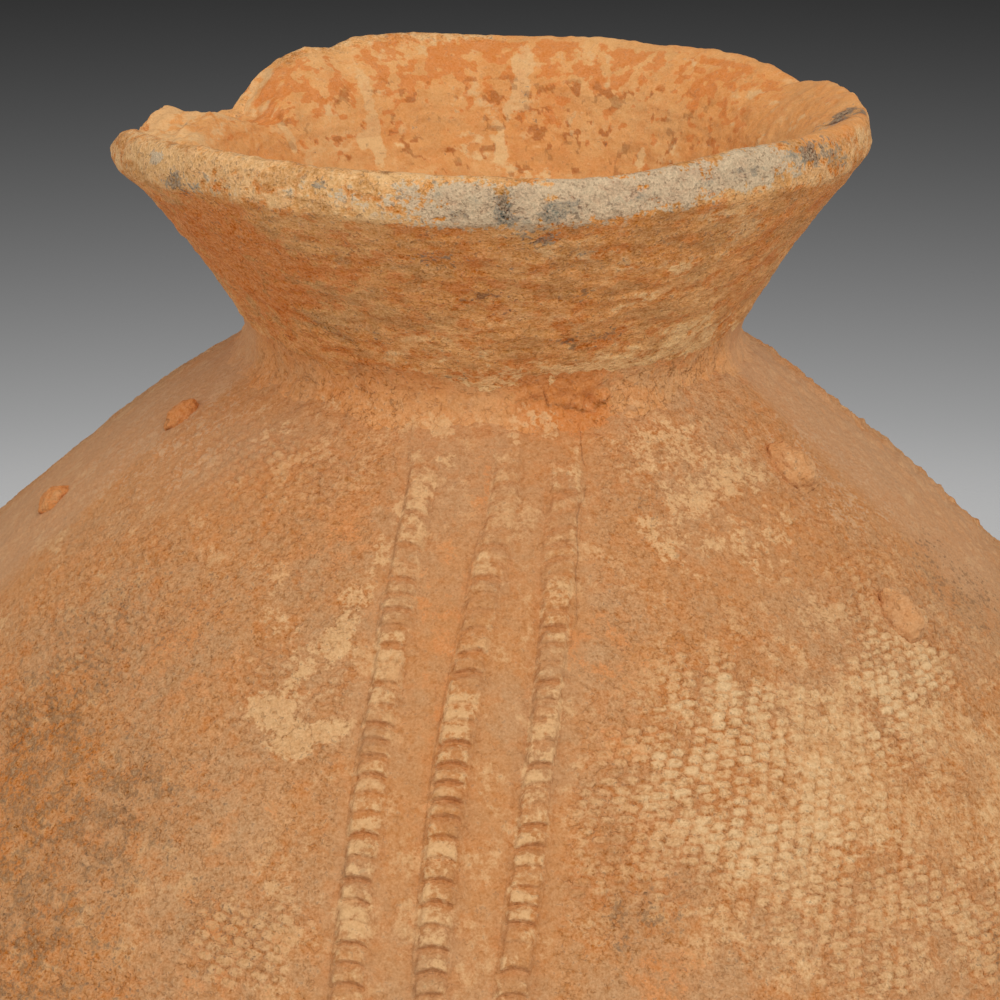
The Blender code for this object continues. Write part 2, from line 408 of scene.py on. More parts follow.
class Graph:
    """The nodes of a material or of the world."""

    def __init__(self, owner: bpy.types.ID, shader: str = "Principled BSDF", place: str = "Object") -> None:
        """Start from the owner's own nodes.

        Args:
            owner: New material or world.
            shader: Name of its shader's node.
            place: Coordinates that its textures are laid on.
        """
        owner.use_nodes = True
        self.owner = owner
        self.tree = owner.node_tree
        self.shader = self.tree.nodes[shader]
        self.place = self.node("ShaderNodeTexCoord", {}, {}, place)

    def node(
        self, kind: str, settings: dict[str, object], inputs: dict[object, object], output: object = 0
    ) -> Socket:
        """Add a node.

        Args:
            kind: The node's type.
            settings: Its settings, set before its sockets.
            inputs: Values or sockets for its inputs, by name or number.
            output: Name or number of the output to return.

        Returns:
            The output.
        """
        made = self.tree.nodes.new(kind)
        for key, value in settings.items():
            setattr(made, key, value)
        for key, value in inputs.items():
            self.feed(made.inputs[key], value)
        return Socket(self, made.outputs[output])

    def feed(self, target: bpy.types.NodeSocket, value: object) -> None:
        """Link a socket to an input, or set the input's value.

        Args:
            target: The input.
            value: Socket or plain value.
        """
        if isinstance(value, Socket):
            self.tree.links.new(value.link, target)
        else:
            target.default_value = value

    def shade(self, name: str, value: object) -> None:
        """Give the shader's own input a value or a socket."""
        self.feed(self.shader.inputs[name], value)

    def stretched(self, stretch: Triple) -> Socket:
        """Shrink the coordinates along each axis, so that what is drawn on them is longer there.

        Args:
            stretch: How much longer it is along each axis.

        Returns:
            The shrunk coordinates.
        """
        if stretch == (1.0, 1.0, 1.0):
            return self.place
        shrink = tuple(1.0 / part for part in stretch)
        return self.node("ShaderNodeVectorMath", {"operation": "MULTIPLY"}, {0: self.place, 1: shrink})

    def grain(self, size: float, detail: float, stretch: Triple = (1.0, 1.0, 1.0)) -> Socket:
        """Noise from about 0.2 to 0.8, with bumps as wide as size and longer by the stretch."""
        inputs = {"Vector": self.stretched(stretch), "Scale": 1.0 / size, "Detail": detail, "Roughness": 0.6}
        return self.node("ShaderNodeTexNoise", {}, inputs, "Fac")

    def creases(self, size: float, width: float, stretch: Triple) -> Socket:
        """Thin bent lines, where a noise passes within a width of its middle."""
        fold = self.grain(size, 2.0, stretch) - 0.5
        return (fold * fold).ease(width * width, 0.0)

    def mask(self, stain: Stain) -> Socket:
        """Mask that the piece's mesh carries for a stain."""
        return self.node("ShaderNodeAttribute", {"attribute_name": stain.value}, {}, "Fac")

    def mix(self, share: object, first: object, second: object) -> Socket:
        """Blend a share of the second colour into the first."""
        settings = {"data_type": "RGBA", "clamp_factor": True}
        return self.node("ShaderNodeMix", settings, {0: share, 6: first, 7: second}, 2)

    def lighten(self, colour: Socket, amount: Socket, tint: Triple) -> Socket:
        """Add an amount of a linear tint to a colour, or take it away where the amount is negative."""
        inputs = {0: amount, 1: tint, 2: colour}
        return self.node("ShaderNodeVectorMath", {"operation": "MULTIPLY_ADD"}, inputs)


@dataclass(frozen=True)
class FiredClay:
    """Unglazed clay with mottling, wear, stains and grit, and painted shade in its grooves, creases, pits
    and cracks.
    """

    name: str
    body: Colour
    warm: Colour
    pale: Colour
    dust: Colour = tone(176, 134, 92)
    rust: Colour = tone(196, 120, 60)
    dark: Colour = tone(112, 78, 50)
    cream: Colour = tone(222, 192, 146)
    grey: Colour = tone(192, 168, 136)
    shadow: Colour = tone(96, 60, 34)
    furrow_shade: Colour = tone(184, 118, 66)
    wear: float = 0.5
    flakes: float = 0.3
    grit: float = 0.7
    sand: float = 0.9
    crease_depth_and_shade: float = 0.15
    pits: float = 0.64
    haze: float = 0.0
    streak: Triple = (1.0, 1.0, 1.0)
    roughness: float = 0.95
    gloss: float = 0.2
    grit_tint: Triple = (0.42, 0.27, 0.16)
    speck_tint: Triple = (0.24, 0.19, 0.12)
    fleck_tint: Triple = (0.12, 0.12, 0.08)
    bump: float = 1.2 * MM

    def material(self) -> bpy.types.Material:
        """Build the finish.

        Returns:
            The material.
        """
        graph = Graph(bpy.data.materials.new(self.name))
        broad = graph.grain(45 * MM, 4.0)
        ragged = graph.grain(12 * MM, 6.0, self.streak)
        flaked = graph.grain(7.5 * MM, 6.0, self.streak)
        fleck = graph.grain(3.2 * MM, 3.0, self.streak)
        speck = graph.grain(1.6 * MM, 2.0)
        grit = graph.grain(0.75 * MM, 2.0)
        crease = graph.creases(4.5 * MM, 0.022, self.streak) * fleck.ease(0.56, 0.42)
        rough = 2.0 * (ragged - 0.5) + 1.1 * (fleck - 0.5) + 0.5 * (speck - 0.5)
        sandy = 0.8 * (ragged - 0.5) + 1.5 * (fleck - 0.5) + 1.5 * (speck - 0.5) + 0.8 * (grit - 0.5)
        pad, groove = graph.mask(Stain.CELL), graph.mask(Stain.GROOVE_SHADE)
        cream, dark_mask = graph.mask(Stain.CREAM), graph.mask(Stain.DARK)
        smooth = graph.mask(Stain.SMOOTH)
        coarse = 1.0 - 0.6 * smooth + 0.8 * dark_mask
        crease = crease * smooth.ease(0.9, 0.1)
        scuffed = 0.8 * pad + 2.0 * (ragged - 0.5) + 1.0 * (fleck - 0.5)
        washed = (cream + 0.7 * rough - 0.3 * groove).ease(0.15, 0.75) * cream.ease(0, 0.2)
        dabbed = (cream * (0.15 + 0.85 * pad) + 0.5 * rough).ease(0.2, 0.62)
        layers = (
            (flaked.ease(0.51, 0.58) * coarse * self.flakes, self.rust),
            (ragged.ease(0.48, 0.41) * coarse * self.flakes, self.dust),
            # Painted shade in the gaps between pads, beside the ridges and in their notches: the groove mask
            # darkens them towards the furrow colour here, and also holds back the washed pale, adds to the
            # dark stain and deepens the crease shade.
            (groove * 0.48, self.furrow_shade),
            (scuffed.ease(0.08, 0.42) * self.wear, self.pale),
            (self.stained(graph, Stain.ORANGE, rough) * 0.7, self.rust),
            (self.stained(graph, Stain.PALE, rough + 0.2 * pad) * 0.7, self.pale),
            (washed * 0.55, self.pale),
            (dabbed * 0.4, self.cream),
            (self.stained(graph, Stain.GREY, 0.6 * rough + sandy) * 0.75, self.grey),
            # A soft darkening wherever the dark mask lies.
            (dark_mask * 0.09, self.dark),
            (smooth.ease(0.5, 0.75) * self.haze, self.grey),
            (self.stained(graph, Stain.DARK, sandy + 0.25 * groove - 0.04) * 0.7, self.dark),
            # Painted shade in the creases, which the bump also sinks.
            (crease * (0.35 * dark_mask + 0.15 * groove + self.crease_depth_and_shade), self.shadow),
            (speck.ease(self.pits, self.pits + 0.06) * coarse * 0.45, self.shadow),
            (graph.mask(Stain.CRACK).ease(0.2, 0.9) * 0.6, self.shadow),
        )
        colour = graph.mix(broad.ease(0.38, 0.62), self.body, self.warm)
        for cover, tint in layers:
            colour = graph.mix(cover, colour, tint)
        for amount, tint in ((grit, self.grit_tint), (speck, self.speck_tint), (fleck, self.fleck_tint)):
            sanded = tuple(part * self.sand for part in tint)
            colour = graph.lighten(colour, (amount - 0.5) * coarse, sanded)
        graph.shade("Base Color", colour)
        graph.shade("Roughness", self.roughness - 0.12 * fleck)
        graph.shade("Specular IOR Level", self.gloss)
        height = (0.5 * fleck + 0.6 * speck + 0.2 * grit) * (1.0 - 0.6 * smooth)
        height = height - crease * (1.3 * self.crease_depth_and_shade)
        bump_inputs = {"Strength": self.grit, "Distance": self.bump, "Height": height}
        graph.shade("Normal", graph.node("ShaderNodeBump", {}, bump_inputs, "Normal"))
        return graph.owner

    @staticmethod
    def stained(graph: Graph, stain: Stain, rough: Socket) -> Socket:
        """Cover of a stain from 0 to 1, with edges as ragged as the roughness makes them."""
        mask = graph.mask(stain)
        return (mask + rough).ease(0.34, 0.62) * mask.ease(0.0, 0.2)


class Finish(Enum):
    """The finishes of the jar, by the part of it that they are on."""

    SHOULDER = FiredClay(
        "shoulder_clay",
        tone(187, 138, 93),
        tone(191, 133, 82),
        tone(212, 167, 116),
        dark=tone(124, 82, 45),
        grey=tone(192, 147, 107),
        haze=0.5,
    )
    BASE = FiredClay("base_clay", tone(182, 133, 90), tone(180, 123, 77), tone(205, 160, 112))
    # The neck's colours are lighter than the shoulder's: partly its own more orange clay, partly painted
    # light that makes up for the shade under the flared lip. The lip's finish takes the same body and warm
    # colours.
    NECK = FiredClay(
        "neck_clay",
        tone(220, 164, 104),
        tone(217, 150, 87),
        tone(228, 188, 132),
        rust=tone(205, 120, 56),
        dust=tone(188, 140, 88),
        sand=1.2,
        crease_depth_and_shade=0.14,
        flakes=0.55,
        grit=1.0,
        streak=(1.3, 1.3, 0.85),
    )
    LIP = replace(
        NECK,
        name="lip_clay",
        pale=tone(218, 174, 120),
        dark=tone(112, 103, 90),
        grey=tone(187, 168, 140),
        sand=1.4,
        crease_depth_and_shade=0.1,
        pits=0.59,
    )
    # The fillet's body and warm colours lie between the shoulder's and the neck's lightened ones, painted
    # light on its upper part, which faces down like the neck.
    FILLET = replace(
        SHOULDER, name="fillet_clay", body=tone(203, 148, 96), warm=tone(206, 141, 84), crease_depth_and_shade=0.3
    )
    RIDGE = replace(SHOULDER, name="ridge_clay")
    PELLET = FiredClay(
        "pellet_clay",
        tone(200, 149, 102),
        tone(202, 142, 88),
        tone(214, 170, 120),
        wear=0.3,
        flakes=0.12,
        sand=0.6,
    )


@dataclass
class Skin:
    """A grid of places on a clay surface, with the normals and stains there."""

    points: Array
    normals: Array
    stains: Stains

    @classmethod
    def from_padded(cls, points: Array, stains: Stains) -> "Skin":
        """Take normals from a grid that has one extra line of places all round, and drop that line.

        Args:
            points: Places, in rows down the piece and columns round it.
            stains: Masks at the same places.

        Returns:
            The skin without the extra lines.
        """
        down = points[2:, 1:-1] - points[:-2, 1:-1]
        along = points[1:-1, 2:] - points[1:-1, :-2]
        normals = np.cross(along, down)
        normals /= np.maximum(np.linalg.norm(normals, axis=-1, keepdims=True), TINY)
        inner = {stain: values[1:-1, 1:-1] for stain, values in stains.items()}
        return cls(points[1:-1, 1:-1], -normals, inner)

    def joined(self, other: "Skin") -> "Skin":
        """Lay another skin's rows after this one's.

        Args:
            other: Skin with as many columns.

        Returns:
            Both skins as one.
        """
        empty = np.zeros(self.points.shape[:2])
        blank = np.zeros(other.points.shape[:2])
        stains = {}
        for stain in set(self.stains) | set(other.stains):
            both = [self.stains.get(stain, empty), other.stains.get(stain, blank)]
            stains[stain] = np.concatenate(both)
        points = np.concatenate([self.points, other.points])
        return Skin(points, np.concatenate([self.normals, other.normals]), stains)

    def rows(self, first: int, last: int) -> "Skin":
        """Take the rows from the first to the last as a skin of their own."""
        stains = {stain: values[first : last + 1] for stain, values in self.stains.items()}
        return Skin(self.points[first : last + 1], self.normals[first : last + 1], stains)

    def looped(self) -> "Skin":
        """Lay the first row again after the last, so that the sheet closes into a tube."""
        return self.joined(self.rows(0, 0))


def as_mesh(name: str, shape: bmesh.types.BMesh) -> bpy.types.Mesh:
    """Turn a finished shape into a new mesh.

    Args:
        name: Name of the mesh.
        shape: The shape, which is freed.

    Returns:
        The mesh.
    """
    mesh = bpy.data.meshes.new(name)
    shape.to_mesh(mesh)
    shape.free()
    return mesh


def vertex_places(mesh: bpy.types.Mesh) -> Array:
    """Read the places of a mesh's points.

    Args:
        mesh: The mesh.

    Returns:
        Places, with x, y and z on the last axis.
    """
    flat = np.empty(len(mesh.vertices) * 3, np.float32)
    mesh.vertices.foreach_get("co", flat)
    return flat.reshape(-1, 3)


def shape_mesh(mesh: bpy.types.Mesh, places: Array, stains: Stains) -> None:
    """Move a mesh's points and write their masks.

    Args:
        mesh: The mesh.
        places: New places of its points.
        stains: Masks at its points. The other masks stay empty.
    """
    mesh.vertices.foreach_set("co", places.astype(np.float32).ravel())
    for stain in Stain:
        layer = mesh.attributes.new(stain.value, "FLOAT", "POINT")
        if stain in stains:
            layer.data.foreach_set("value", stains[stain].astype(np.float32))


def add_object(name: str, data: bpy.types.ID) -> bpy.types.Object:
    """Put a new object in the scene.

    Args:
        name: Name of the object.
        data: Its mesh, lamp or camera.

    Returns:
        The object.
    """
    made = bpy.data.objects.new(name, data)
    bpy.context.scene.collection.objects.link(made)
    return made


class Potter:
    """Makes finished pieces from skins."""

    def __init__(self) -> None:
        """Start with no materials made."""
        self.materials: dict[Finish, bpy.types.Material] = {}

    def piece(self, name: str, skin: Skin, finish: Finish, slot: str, nodes: tuple[str, ...]) -> None:
        """Shape a sheet of clay to a skin and close it.

        Args:
            name: Name of the piece.
            skin: Places of the sheet's points. Lines that meet are joined.
            finish: Finish of the piece.
            slot: Not used.
            nodes: Solids that it replaces.
        """
        rows, columns = skin.points.shape[:2]
        sheet = bmesh.new()
        bmesh.ops.create_grid(sheet, x_segments=columns - 1, y_segments=rows - 1, size=0.5)
        mesh = as_mesh(name, sheet)
        place = vertex_places(mesh)
        column = np.rint((place[:, 0] + 0.5) * (columns - 1)).astype(int)
        row = np.rint((place[:, 1] + 0.5) * (rows - 1)).astype(int)
        stains = {stain: values[row, column] for stain, values in skin.stains.items()}
        shape_mesh(mesh, skin.points[row, column], stains)
        facing = mesh.attributes.new("facing", "FLOAT_VECTOR", "POINT")
        facing.data.foreach_set("vector", skin.normals[row, column].astype(np.float32).ravel())
        self.close(mesh)
        self.dress(name, mesh, finish, nodes)

    @staticmethod
    def close(mesh: bpy.types.Mesh) -> None:
        """Join the sheet's meeting edges and fill the openings that are left.

        Args:
            mesh: The sheet, with its points in place.
        """
        sheet = bmesh.new()
        sheet.from_mesh(mesh)
        edge = [vert for vert in sheet.verts if vert.is_boundary]
        bmesh.ops.remove_doubles(sheet, verts=edge, dist=WELD)
        holes = [line for line in sheet.edges if line.is_boundary]
        if holes:
            bmesh.ops.holes_fill(sheet, edges=holes, sides=0)
        bmesh.ops.recalc_face_normals(sheet, faces=sheet.faces)
        sheet.to_mesh(mesh)
        sheet.free()

    def dress(
        self, name: str, mesh: bpy.types.Mesh, finish: Finish, nodes: tuple[str, ...]
    ) -> None:
        """Give a closed mesh its normals and finish, and set it on the jar.

        Args:
            name: Name of the piece.
            mesh: Its mesh, with normals kept under the name facing.
            finish: Finish of the piece.
            nodes: Solids that it replaces.
        """
        mesh.shade_smooth()
        if "facing" in mesh.attributes:
            normals = np.empty(len(mesh.vertices) * 3, np.float32)
            mesh.attributes["facing"].data.foreach_get("vector", normals)
            mesh.attributes.remove(mesh.attributes["facing"])
            mesh.normals_split_custom_set_from_vertices(normals.reshape(-1, 3))
        if finish not in self.materials:
            self.materials[finish] = finish.value.material()
        mesh.materials.append(self.materials[finish])
        piece = add_object(name, mesh)
        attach(piece, ROOT)
        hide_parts(*nodes)
        LOG.info("%s: %d faces", name, len(mesh.polygons))


@dataclass(frozen=True)
class RidgeLine:
    """Middle line of a notched ridge on the shoulder, as runs and distances aside in millimetres."""

    name: str
    knots: tuple[tuple[float, float], ...]
    start: float = 23.0 * MM
    end: float = 253.0 * MM
    degree: int = 5

    def middle(self, run: Array) -> Array:
        """Trace the middle line.

        Args:
            run: Runs down the clay.

        Returns:
            Distance of the line to the right of the jar's front at each run.
        """
        runs, asides = np.array(self.knots).T
        curve = np.polynomial.Polynomial.fit(runs, asides, self.degree)
        return curve(np.clip(run / MM, runs[0], runs[-1])) * MM

    def aside(self, spots: Spots) -> Array:
        """Distance to the right of the middle line at each place."""
        return spots.angle * spots.radius - self.middle(spots.along)


LEFT_RIDGE = RidgeLine(
    "ridge_left",
    (
        (20, -21.0), (50, -23.2), (80, -25.3), (105, -29.5),
        (140, -32.9), (175, -36.9), (205, -39.0), (258, -44.0),
    ),
)  # fmt: skip
CENTRE_RIDGE = RidgeLine(
    "ridge_centre",
    (
        (20, 5.8), (45, 5.2), (65, 2.9), (85, -1.1), (110, -5.0),
        (140, -9.1), (175, -12.8), (205, -14.6), (258, -19.0),
    ),
)  # fmt: skip
RIGHT_RIDGE = RidgeLine(
    "ridge_right",
    (
        (20, 24.6), (55, 25.3), (85, 23.6), (105, 21.6), (125, 18.6),
        (150, 16.5), (175, 13.2), (205, 9.4), (258, 3.5),
    ),
)  # fmt: skip
RIDGES = (LEFT_RIDGE, CENTRE_RIDGE, RIGHT_RIDGE)
RIDGE_SEEDS = (81, 91, 101)


@dataclass
class ShoulderSkin:
    """Relief and stains of the body: roulette cells, wear, cracks and slip, with painted shade in the gaps
    between the cells and beside the ridges.
    """

    wall: Wall
    cell_width: float = 6.2 * MM
    cell_height: float = 3.1 * MM
    cell_slant: float = 0.30
    cell_lift: float = 0.95 * MM
    cell_tilt: float = 0.42
    cell_jitter: float = 0.14
    cell_reach: tuple[float, float] = (0.90, 0.86)
    cell_edge: Fade = (1.35, 0.35)
    cells_start: Fade = (14 * MM, 34 * MM)
    band: float = 29.7 * MM
    band_shift: float = 0.37
    ridge_half: float = 5.6 * MM
    ridge_bed: float = 0.7 * MM
    ridge_groove: float = 0.45 * MM
    crack_depth: float = 0.6 * MM
    crack_aside: float = 6.0 * MM
    crack_runs: Span = (8 * MM, 14 * MM, 0.085, 0.112)
    tuck_depth: float = 0.5 * MM
    tuck_edge: float = 0.02
    strip_left: Fade = (-13 * MM, -7 * MM)
    strip_right: Fade = (15 * MM, 8 * MM)
    strip_end: Fade = (0.275, 0.255)
    haze_angles: Span = (0.95, 1.25, 1.5, 2.1)
    haze_end: Fade = (0.21, 0.11)
    collar_end: Fade = (26 * MM, 6 * MM)
    bold_angles: Span = (1.25, 1.7, 2.2, 2.9)
    bold_runs: Span = (12 * MM, 30 * MM, 0.18, 0.30)
    knobs: Lumps = Lumps(1.25, 5.2, 2, 31)
    swell: Lumps = Lumps(1.2, 75, 2, 22)
    dents: Lumps = Lumps(0.34, 13, 3, 23)
    crumbs: Lumps = Lumps(0.24, 3.2, 2, 24)
    collar_lumps: Lumps = Lumps(1.3, 11, 2, 25)
    torn_lumps: Lumps = Lumps(1.5, 7, 3, 30)
    torn_floor: float = -0.45 * MM
    brushing: Lumps = Lumps(0.25, 2.6, 2, 26)
    brush_stretch: Triple = (1.0, 0.22, 0.22)
    crack_bends: Lumps = Lumps(1.4, 15, 3, 27)
    split_bends: Lumps = Lumps(0.9, 6, 3, 33)
    inside_lumps: Lumps = Lumps(0.6, 30, 3, 28)
    torn: Patch = Patch(18, 10, 16, 10)
    cream: Patches = patches(
        (26, 148, 52, 42, 0.50), (44, 165, 62, 56, 0.48), (22, 185, 34, 28, 0.35),
        (48, 126, 22, 18, 0.40), (24, 118, 22, 12, 0.30), (16, 138, 18, 14, 0.25), (26, 116, 4, 5, 0.6),
        (30, 215, 50, 20, 0.25),
    )  # fmt: skip
    pale: Patches = patches(
        (-21, 121, 11, 8, 0.72), (-18, 130, 12, 8, 0.85), (-14.5, 125, 6, 6, 0.6),
        (-17, 100, 7, 18, 0.42, 22), (-15, 80, 6, 18, 0.40, 16), (-13.2, 52, 5, 20, 0.45, 8),
        (-24, 90, 24, 34, 0.20), (31, 24, 22, 10, 0.45), (40, 42, 26, 18, 0.46), (40, 70, 24, 16, 0.38),
        (27, 60, 14, 20, 0.35), (-10, 13, 5, 4, 0.65), (-7, 25, 4, 5, 0.65), (-11, 28, 3, 4, 0.5),
        (4, 16, 5, 3.5, 0.65), (12, 14.5, 4, 3, 0.6), (-48, 24, 22, 8, 0.3),
    )  # fmt: skip
    dark: Patches = patches(
        (-40, 180, 50, 46, 0.48), (-30, 160, 32, 26, 0.25), (-48, 140, 32, 44, 0.28),
        (-34, 216, 42, 26, 0.34), (-20, 190, 22, 20, 0.2), (-38, 100, 40, 36, 0.16), (25, 50, 6, 9, 0.25),
        (68, 122, 24, 34, 0.34), (12, 186, 16, 14, 0.34), (45, 225, 34, 22, 0.3),
    )  # fmt: skip
    grey: Patches = patches((-70, 45, 60, 40, 0.22), (66, 60, 40, 40, 0.2))
    orange: Patches = patches(
        (14, 95, 18, 22, 0.32), (14, 128, 14, 16, 0.35), (18, 10, 15, 9, 0.5), (1, 30, 10, 20, 0.3),
        (-22, 60, 24, 26, 0.30), (-34, 110, 40, 34, 0.30), (-22, 150, 26, 26, 0.22),
        (27, 85, 20, 16, 0.12), (12, 205, 24, 20, 0.32), (-4, 100, 16, 60, 0.30),
        (-20, 200, 26, 24, 0.30),
    )  # fmt: skip
    crisp: Patches = patches(
        (26, 150, 60, 52, 0.7), (47, 128, 36, 30, 0.7), (34, 205, 60, 26, 0.8), (-17, 195, 22, 18, 1.0),
    )  # fmt: skip
    calm: Patches = patches((53.2, 112.5, 11, 13, 0.9), (40, 175, 12, 16, 0.5))
    misty: Patches = patches((-56, 40, 60, 40, 0.8), (40, 66, 46, 36, 0.45))
    splits: Patches = patches(
        (11.5, 7.5, 4, 0.5, 0.9, 71), (13, 9.5, 3, 0.5, 0.8, -16), (18, 10, 8.5, 0.55, 1.0, 8),
        (24, 9.5, 5, 0.5, 0.9, -24), (24.6, 48, 5, 0.4, 0.5, 80), (23.6, 59, 5, 0.4, 0.4, 112),
        (-15.5, 20, 9, 0.5, 0.4, 78),
    )  # fmt: skip

    def bold(self, spots: Spots) -> Array:
        """Share of the bolder lumps, which are on the jar's right flank, from 0 to 1."""
        return between(spots.angle, *self.bold_angles) * between(spots.along, *self.bold_runs)

    def cells(self, spots: Spots) -> Array:
        """Rows of small pads left by a rolled cord, in bands round the jar.

        Args:
            spots: Places on the plain surface.

        Returns:
            Height of the pads, from 0 to 1.
        """
        place = spots.place
        down = spots.along + 1.8 * MM * Grain.noise(place, 50 * MM, 11)
        down = down + 0.45 * MM * Grain.noise(place, 13 * MM, 12)
        band = np.floor(down / self.band)
        count = np.rint(2 * math.pi * self.wall.radius((band + 0.5) * self.band) / self.cell_width)
        row = np.floor(down / self.cell_height)
        sway = 0.45 * Grain.noise(place, 40 * MM, 13) + 0.10 * Grain.noise(place, 8 * MM, 14)
        across = spots.angle / (2 * math.pi) * count + self.cell_slant * down / self.cell_height
        across = across + sway + self.band_shift * band
        aside = 2.0 * (across - np.floor(across)) - 1.0
        below = 2.0 * (down / self.cell_height - row) - 1.0
        column = np.remainder(np.floor(across), count)
        picks = [Grain.whole(values) for values in (column, row, band)]
        size = 0.76 + 0.24 * Grain.scatter(picks, 15)
        aside = aside + self.cell_jitter * Grain.scatter(picks, 16)
        tilted = below - self.cell_tilt * aside + self.cell_jitter * Grain.scatter(picks, 17)
        wide, tall = self.cell_reach
        return size * ease(np.abs(aside / wide) ** 3 + np.abs(tilted / tall) ** 3, *self.cell_edge)

    def relief(self, angle: Array, run: Array) -> tuple[Array, Stains]:
        """Shape and stain the body's surface.

        Args:
            angle: Angles round the jar, in radians.
            run: Runs down the clay.

        Returns:
            Heights above the plain surface, and masks for the finish.
        """
        turn = wrapped(angle)
        place = self.wall.points(turn, run, np.zeros_like(run))
        spots = Spots(turn, self.wall.radius(run), run, place)
        left, right = LEFT_RIDGE.aside(spots), RIGHT_RIDGE.aside(spots)
        smoothed = ease(left, *self.strip_left) * ease(right, *self.strip_right) * ease(run, *self.strip_end)
        hazy = between(np.abs(turn), *self.haze_angles) * ease(run, *self.haze_end)
        misty = covered(self.misty, spots)
        worn = Grain.layers(place, 34 * MM, 4, 21)
        crisp = covered(self.crisp, spots)
        clear = np.clip(0.50 + 0.45 * worn + 0.5 * crisp, 0.2, 1.0)
        clear = clear * (1.0 - 0.95 * smoothed) * ease(run, *self.cells_start)
        clear = clear * (1.0 - 0.7 * hazy) * (1.0 - covered(self.calm, spots))
        cells, crack = self.cells(spots), self.crack(spots)
        bed, flank = self.beds(spots)
        lift = self.cell_lift * cells * clear + self.bold(spots) * self.knobs.at(place)
        lift = lift + self.swell.at(place) + self.dents.at(place) * (1.0 - 0.4 * smoothed)
        lift = lift + self.crumbs.at(place) * (1.0 - 0.5 * smoothed) * (1.0 - 0.6 * hazy)
        lift = lift + ease(run, *self.collar_end) * np.maximum(self.collar_lumps.at(place), 0.0)
        torn = self.torn.cover(spots)
        lift = lift + torn * np.maximum(self.torn_lumps.at(place), self.torn_floor)
        lift = lift + smoothed * self.brushing.at(place * np.array(self.brush_stretch))
        lift = lift - self.ridge_bed * bed - self.ridge_groove * flank - self.crack_depth * crack
        clusters = np.clip(0.85 + 0.8 * Grain.layers(place, 4.5 * MM, 3, 34), 0.3, 1.2)
        stains = {
            Stain.CELL: cells * clear * np.clip(0.15 + crisp, 0.0, 1.0),
            # Painted shade: the groove mask darkens the gaps between the pads and the soft grooves beside
            # the ridges.
            Stain.GROOVE_SHADE: np.clip((1.0 - cells) * clear - 0.15, 0.0, 1.0) + 0.22 * flank,
            Stain.CREAM: covered(self.cream, spots),
            Stain.PALE: covered(self.pale, spots) + 0.05 * smoothed,
            Stain.DARK: np.minimum(covered(self.dark, spots) * clusters, 0.5),
            Stain.ORANGE: covered(self.orange, spots),
            Stain.GREY: covered(self.grey, spots),
            Stain.CRACK: crack,
            Stain.SMOOTH: 0.5 * smoothed + 0.75 * np.maximum(hazy, misty),
        }
        return lift, stains

    def beds(self, spots: Spots) -> tuple[Array, Array]:
        """Find where the ridges lie.

        Args:
            spots: Places on the plain surface.

        Returns:
            Cover of the strips that the ridges hide, and of the soft grooves beside them.
        """
        run, half = spots.along, self.ridge_half
        bed, flank = np.zeros_like(run), np.zeros_like(run)
        for line in RIDGES:
            offset = line.aside(spots)
            aside = np.abs(offset)
            start, end = line.start, line.end
            within = between(run, start - 2 * MM, start + 8 * MM, end - 8 * MM, end + 2 * MM)
            bed = np.maximum(bed, within * ease(aside, half, half - 1.0 * MM))
            depth = 0.30 + 0.70 * ease(offset, 2 * MM, -2 * MM)
            flank = np.maximum(flank, within * depth * ease(np.abs(aside - half), 3.2 * MM, 0.2 * MM))
        return bed, flank

    def crack(self, spots: Spots) -> Array:
        """Hairline cracks, the longest of which runs down beside the right ridge from the neck.

        Args:
            spots: Places on the plain surface.

        Returns:
            Cover of the cracks, from 0 to 1.
        """
        run, place = spots.along, spots.place
        aside = RIGHT_RIDGE.aside(spots) - self.crack_aside + self.crack_bends.at(place)
        near = 0.6 * ease(np.abs(aside), 0.6 * MM, 0.1 * MM)
        broken = ease(Grain.layers(place, 12 * MM, 2, 29), -0.25, 0.1)
        long = near * broken * between(run, *self.crack_runs)
        bent = replace(spots, along=run + self.split_bends.at(place))
        return np.maximum(long, covered(self.splits, bent))

    def skin(self, angles: Array, runs: Array, tuck: float = 0.0) -> Skin:
        """Cover a ring of the body.

        Args:
            angles: Angles of the columns.
            runs: Runs of the rows.
            tuck: Angle either side of the front within which the skin sinks under its neighbour.

        Returns:
            The ring's outer skin.
        """
        run, angle = padded_grid(runs, angles)
        lift, stains = self.relief(angle, run)
        lift = lift - self.tuck_depth * ease(np.abs(wrapped(angle)), tuck, tuck - self.tuck_edge)
        return Skin.from_padded(self.wall.points(angle, run, lift), stains)

    def lining(self, angles: Array, runs: Array) -> Skin:
        """Cover the inside of a ring of the body, from its foot up.

        Args:
            angles: Angles of the columns.
            runs: Runs of the rows.

        Returns:
            The ring's inner skin.
        """
        run, angle = padded_grid(runs, angles)
        place = self.wall.points(angle, run, np.full_like(run, -self.wall.thickness))
        lift = self.inside_lumps.at(place) - self.wall.thickness
        return Skin.from_padded(self.wall.points(angle, run, lift), {})


